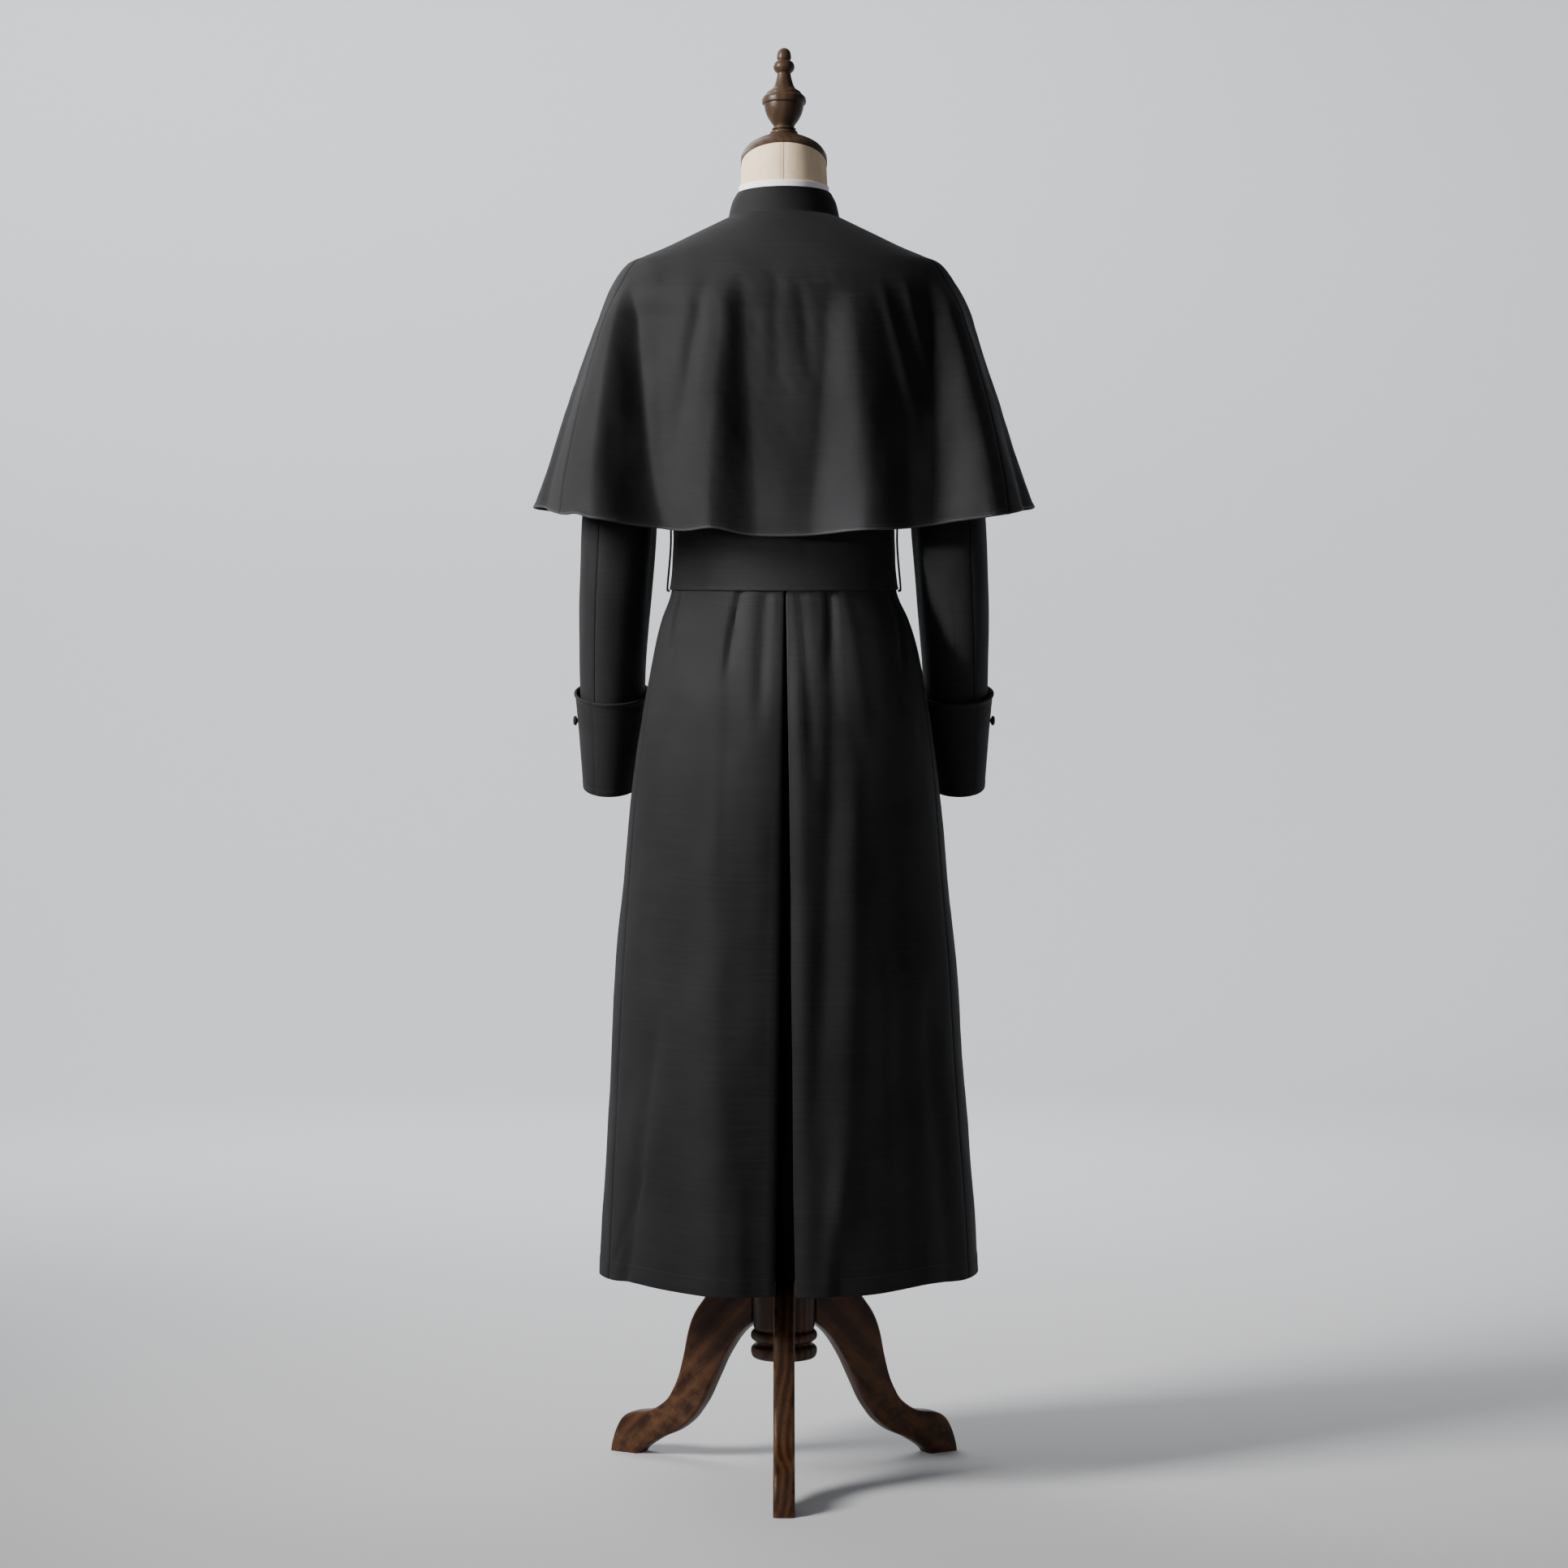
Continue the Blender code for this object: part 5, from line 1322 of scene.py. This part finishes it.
def dressForm():
    sizes = formSizes
    heights = panelHeights(sizes["bottom"], bodySizes["neckline"])[:, None]
    columns = sizes["columns"]
    angles = turnAngles(columns) - 180.0
    skin = bodyPoint(angles, heights, False)
    side = np.abs(np.sin(np.radians(angles))) ** 3
    insets = sizes["insets"].straight(heights)
    depth = insets.middle + (insets.side - insets.middle) * side
    torso = skin - outward(skin, closed=True) * depth[..., None]
    torso[..., 2] = np.where(heights <= bodySizes["armpit"], heights, torso[..., 2])
    row = sizes["neck"].at(np.linspace(0, sizes["neck"].last, sizes["neckRows"])[:, None])
    row.height = row.height + row.tilt * np.cos(np.radians(angles))
    points = np.concatenate([torso, ringPoint(row, angles)], 0)
    full = np.concatenate([points, points[:, :1]], 1)
    u = runLengths(full, 1)
    u = u - u[:, columns // 2, None]
    dip = sizes["seamDip"] * np.exp(-(u[:, :-1] / sizes["seamReach"]) ** 2)
    points = points - outward(points, closed=True) * dip[..., None]
    item = gridMesh("formTorso", points, u, runLengths(full, 0), closed=True, capped=True)
    faceOutward(item)
    item.data.shade_smooth()
    item.data.set_sharp_from_angle(angle=math.radians(sizes["sharp"]))
    settle(item, naturalLinen)


dressForm()
print("dress form")


# Turned wood

turnedSizes = {
    "segments": 56,
    "fine": 4,  # rings between two points of a profile
    "sharp": 38.0,
    "ridgeFull": 250.0,  # curvature, per metre, at which an edge counts as fully raised
    "cutHeight": 1.7048,  # the neck's slanted top, on which the cap sits
    "cutNormal": (0, -0.0181, 0.0555),
}
profiles = {
    "neckCap": [
        (56.4, 1680), (56.4, 1712), (54.6, 1718.4), (51.9, 1723.7), (47.6, 1729), (40.8, 1734.2),
        (31, 1739), (23, 1742.2), (18.5, 1744),
    ],
    "turnedFinial": [
        (17.8, 1744.3), (18.3, 1745.8), (17.6, 1747.4), (14.6, 1748.3), (14, 1749.2),
        (15.6, 1750.2), (15.8, 1751.6), (13.8, 1752.6), (13.4, 1753.8), (14.6, 1756.6),
        (17.8, 1760.8), (21.1, 1766.1), (23.5, 1771.4), (25.1, 1776.7), (26, 1782.2),
        (26.2, 1783.2), (28.3, 1783.8), (28.9, 1786.2), (28.9, 1789.2), (28, 1792.2), (25.2, 1795),
        (23.6, 1795.8), (23.2, 1797.4), (20.6, 1800.2), (15, 1804.2), (11.8, 1811), (9.8, 1818.5),
        (9.1, 1823.9), (12, 1826.8), (14, 1831.9), (12, 1838), (8.2, 1840.3), (9.3, 1842.8),
        (9.4, 1847), (8, 1852.4), (5, 1855.7), (1.8, 1857),
    ],
    "supportPole": [(15, 306.3), (15, 450), (15, 600), (15, 750), (15, 899.7)],
    "turnedHub": [
        (30, 147), (39.8, 148.4), (43, 154), (42.8, 161), (39.2, 164.8), (35.8, 166.4),
        (35.8, 169), (39.8, 170.6), (43.2, 174.4), (43, 180), (40.2, 183.8), (38.6, 184.8),
        (38.6, 186.6), (40, 188.4), (40, 200), (40, 270), (33, 286), (24, 300), (20, 306),
    ],
}


def turnedPiece(name, material, node=None):
    # a disc drawn up its profile, one ring at a time
    profile = Table("| radius height", profiles[name])
    at = profile.at(np.linspace(0, profile.last, profile.last * turnedSizes["fine"] + 1))
    rings = list(zip(at.radius.tolist(), at.height.tolist()))
    radius, height = rings[0]
    item = startPiece(name, bpy.ops.mesh.primitive_circle_add, vertices=turnedSizes["segments"],
                      radius=radius, fill_type="NGON", location=(0, common["poleY"], height))
    drawUp(rings, common["poleY"])
    endPiece(item)
    if name == "neckCap":
        # cut off on the slant of the neck's top
        bpy.ops.object.mode_set(mode="EDIT")
        bpy.ops.mesh.select_all(action="SELECT")
        bpy.ops.mesh.bisect(plane_co=(0, common["poleY"], turnedSizes["cutHeight"]),
                            plane_no=turnedSizes["cutNormal"], use_fill=True, clear_inner=True)
        endPiece(item)
    finishWood(item, material, node)


def readArray(items, key, width, kind=float):
    values = np.empty(len(items) * width, kind)
    items.foreach_get(key, values)
    return values.reshape(-1, width)


def finishWood(item, material, node=None, sharp=turnedSizes["sharp"]):
    # an attribute is high where the wood curves sharply outward, for its wear
    mesh = item.data
    mesh.set_sharp_from_angle(angle=math.radians(sharp))
    place = readArray(mesh.vertices, "co", 3)
    normal = readArray(mesh.vertices, "normal", 3)
    ends = readArray(mesh.edges, "vertices", 2, int)
    bend = np.zeros(len(place))
    for one, other in (ends.T, ends.T[::-1]):
        step = place[one] - place[other]
        length = np.maximum((step ** 2).sum(-1), 1e-9)
        np.maximum.at(bend, one, 2 * (step * normal[one]).sum(-1) / length)
    values = np.clip(bend / turnedSizes["ridgeFull"], 0, 1).astype(np.float32)
    mesh.attributes.new("ridge", "FLOAT", "POINT").data.foreach_set("value", values)
    settle(item, material, node)


turnedPiece("neckCap", turnedWalnut)
turnedPiece("turnedFinial", turnedWalnut, "finial")
turnedPiece("supportPole", turnedWalnut, "pole")
turnedPiece("turnedHub", hubWalnut, "hub")
print("turned cap, finial, pole and hub")


# Legs

legSizes = {
    "thick": 0.027, "round": 0.006,
    "fine": 5,  # cross sections between two rows
    "lean": -46.0,  # turns the grain from along the leg to upright, degrees
    "sharp": 50.0,
}
legSections = Table("| topRadius topHeight underRadius underHeight", [
    (41.8, 260, 41.8, 191), (60, 259, 50, 184.8), (80, 252, 60, 176.5), (98, 239, 70, 165.5),
    (117, 216, 80, 151), (131.5, 196, 89, 136), (141, 173, 97, 120), (148, 141, 106, 102),
    (156, 111.5, 116, 82), (165, 92, 127, 66), (176, 76, 140, 50.5), (199, 61, 160, 35.5),
    (229, 55, 185, 24), (244, 47, 206, 11), (254, 32, 214, 4.5), (261, 12, 217, 0.6),
    (263, 0, 218, 0),
])


def modelLeg():
    # a rounded section at the hub, drawn out along the leg's top line and turned about it
    sizes = legSizes
    steps = int(legSections.last * sizes["fine"])
    at = legSections.at(np.linspace(0, legSections.last, steps + 1))
    tops = [Vector((0, *top)) for top in zip(at.topRadius.tolist(), at.topHeight.tolist())]
    across = at.underRadius - at.topRadius
    down = np.minimum(at.underHeight - at.topHeight, 0.0)
    lengths = np.hypot(across, down).tolist()
    slopes = np.unwrap(np.arctan2(down, across)).tolist()
    item = startPiece("leg", bpy.ops.mesh.primitive_plane_add, size=1,
                      rotation=(math.pi / 2, 0, 0))
    bpy.ops.transform.resize(value=(sizes["thick"], 1, lengths[0]))
    bpy.ops.transform.translate(value=tops[0] - Vector((0, 0, lengths[0] / 2)))
    bpy.ops.mesh.bevel(offset=sizes["round"], segments=4, affect="VERTICES")
    for i, (start, end) in enumerate(zip(tops, tops[1:])):
        share = lengths[i + 1] / lengths[i]
        bpy.ops.mesh.extrude_region_move(TRANSFORM_OT_translate={"value": end - start})
        bpy.ops.transform.rotate(value=slopes[i] - slopes[i + 1], orient_axis="X",
                                 orient_type="GLOBAL", center_override=end)
        bpy.ops.transform.resize(value=(1, share, share), center_override=end)
    bpy.ops.mesh.select_all(action="SELECT")
    bpy.ops.mesh.remove_doubles(threshold=0.0001)
    return endPiece(item)


legModel = modelLeg()
for number, side in enumerate(("Back", "Right", "Left")):
    turn = number * math.tau / 3
    leg = copied(legModel, "leg" + side)
    chooseOnly(leg)
    leg.location = (0, common["poleY"], 0)
    leg.rotation_euler = (0, 0, turn)
    bpy.ops.object.transform_apply(location=True, rotation=True)
    grain = walnut(leg.name + "Walnut", "legs", turn, math.radians(legSizes["lean"]), wear=0.55)
    finishWood(leg, grain, sharp=legSizes["sharp"])
bpy.data.objects.remove(legModel)
print("three legs")


# Stage, light and camera

stageSizes = {
    "flat": 5.0,  # radius of the level floor
    "rim": 6.6, "wall": 4.2, "segments": 96, "bendSteps": 14,
    "colour": (0.60, 0.605, 0.62, 1.0),
}
# each light's place, what it faces, its width and height, power, tint and cone
lights = {
    "key": ((2.50, 1.24, 2.50), (0, 0, 1.55), (0.9, 1.5), 67, (1.0, 0.985, 0.965), 84),
    "fill": ((0.6, 4.2, 2.4), (0, 0, 0.9), (2.2, 2.4), 12, (0.96, 0.98, 1.0), 180),
    "front": ((1.6, -2.6, 3.5), (0, 0, 0.7), (2.0, 2.0), 42, (1.0, 1.0, 1.0), 180),
    "top": ((0.6, -0.9, 3.9), (0, -0.6, 1.0), (2.2, 2.2), 12, (1.0, 1.0, 1.0), 180),
    "sleeve": ((2.0, 1.85, 1.30), (-0.225, 0.03, 1.10), (0.3, 0.3), 0.55, (1.0, 1.0, 1.0), 8),
    "wall": ((0.8, -2.4, 4.1), (0.5, -6.6, 1.3), (4.5, 1.2), 400, (0.97, 0.985, 1.0), 180),
}
studio = {
    "glow": (0.93, 0.95, 1.0, 1.0), "glowStrength": 0.08, "lens": 70.32, "sensor": 36.0,
    "camera": (0.0, 3.9693, 0.896),
}


def sweep():
    # a level floor that rises into a round wall, all in one
    sizes = stageSizes
    flat, rim = sizes["flat"], sizes["rim"]
    bend = np.linspace(0, math.pi / 2, sizes["bendSteps"] + 1).tolist()
    rings = [(flat + (rim - flat) * math.sin(a), (rim - flat) * (1 - math.cos(a))) for a in bend]
    item = startPiece("sweep", bpy.ops.mesh.primitive_circle_add, vertices=sizes["segments"],
                      radius=flat, fill_type="NGON")
    drawUp(rings + [(rim, sizes["wall"])])
    bpy.ops.mesh.delete(type="ONLY_FACE")
    endPiece(item, inside=True)
    fixed = {"Base Color": sizes["colour"], "Roughness": 0.9}
    item.data.materials.append(newMaterial("sweepPaint", 0.15, fixed)[0])


def softLight(name, place, target, size, power, tint, cone):
    light = bpy.data.lights.new(name, "AREA")
    light.shape = "RECTANGLE"
    light.size, light.size_y = size
    light.energy = power
    light.color = tint
    light.spread = math.radians(cone)
    item = bpy.data.objects.new(name, light)
    item.location = place
    item.rotation_euler = (Vector(target) - Vector(place)).to_track_quat("-Z", "Y").to_euler()
    bpy.context.scene.collection.objects.link(item)


sweep()
for name, settings in lights.items():
    softLight(name, *settings)

world = bpy.data.worlds.new("studio")
bpy.context.scene.world = world
world.use_nodes = True
world.node_tree.nodes["Background"].inputs["Color"].default_value = studio["glow"]
world.node_tree.nodes["Background"].inputs["Strength"].default_value = studio["glowStrength"]

lens = bpy.data.cameras.new("camera")
lens.lens = studio["lens"]
lens.sensor_width = studio["sensor"]
camera = bpy.data.objects.new("camera", lens)
camera.location = studio["camera"]
camera.rotation_euler = (math.pi / 2, 0.0, math.pi)
bpy.context.scene.collection.objects.link(camera)
bpy.context.scene.camera = camera
print("stage, lights and camera")
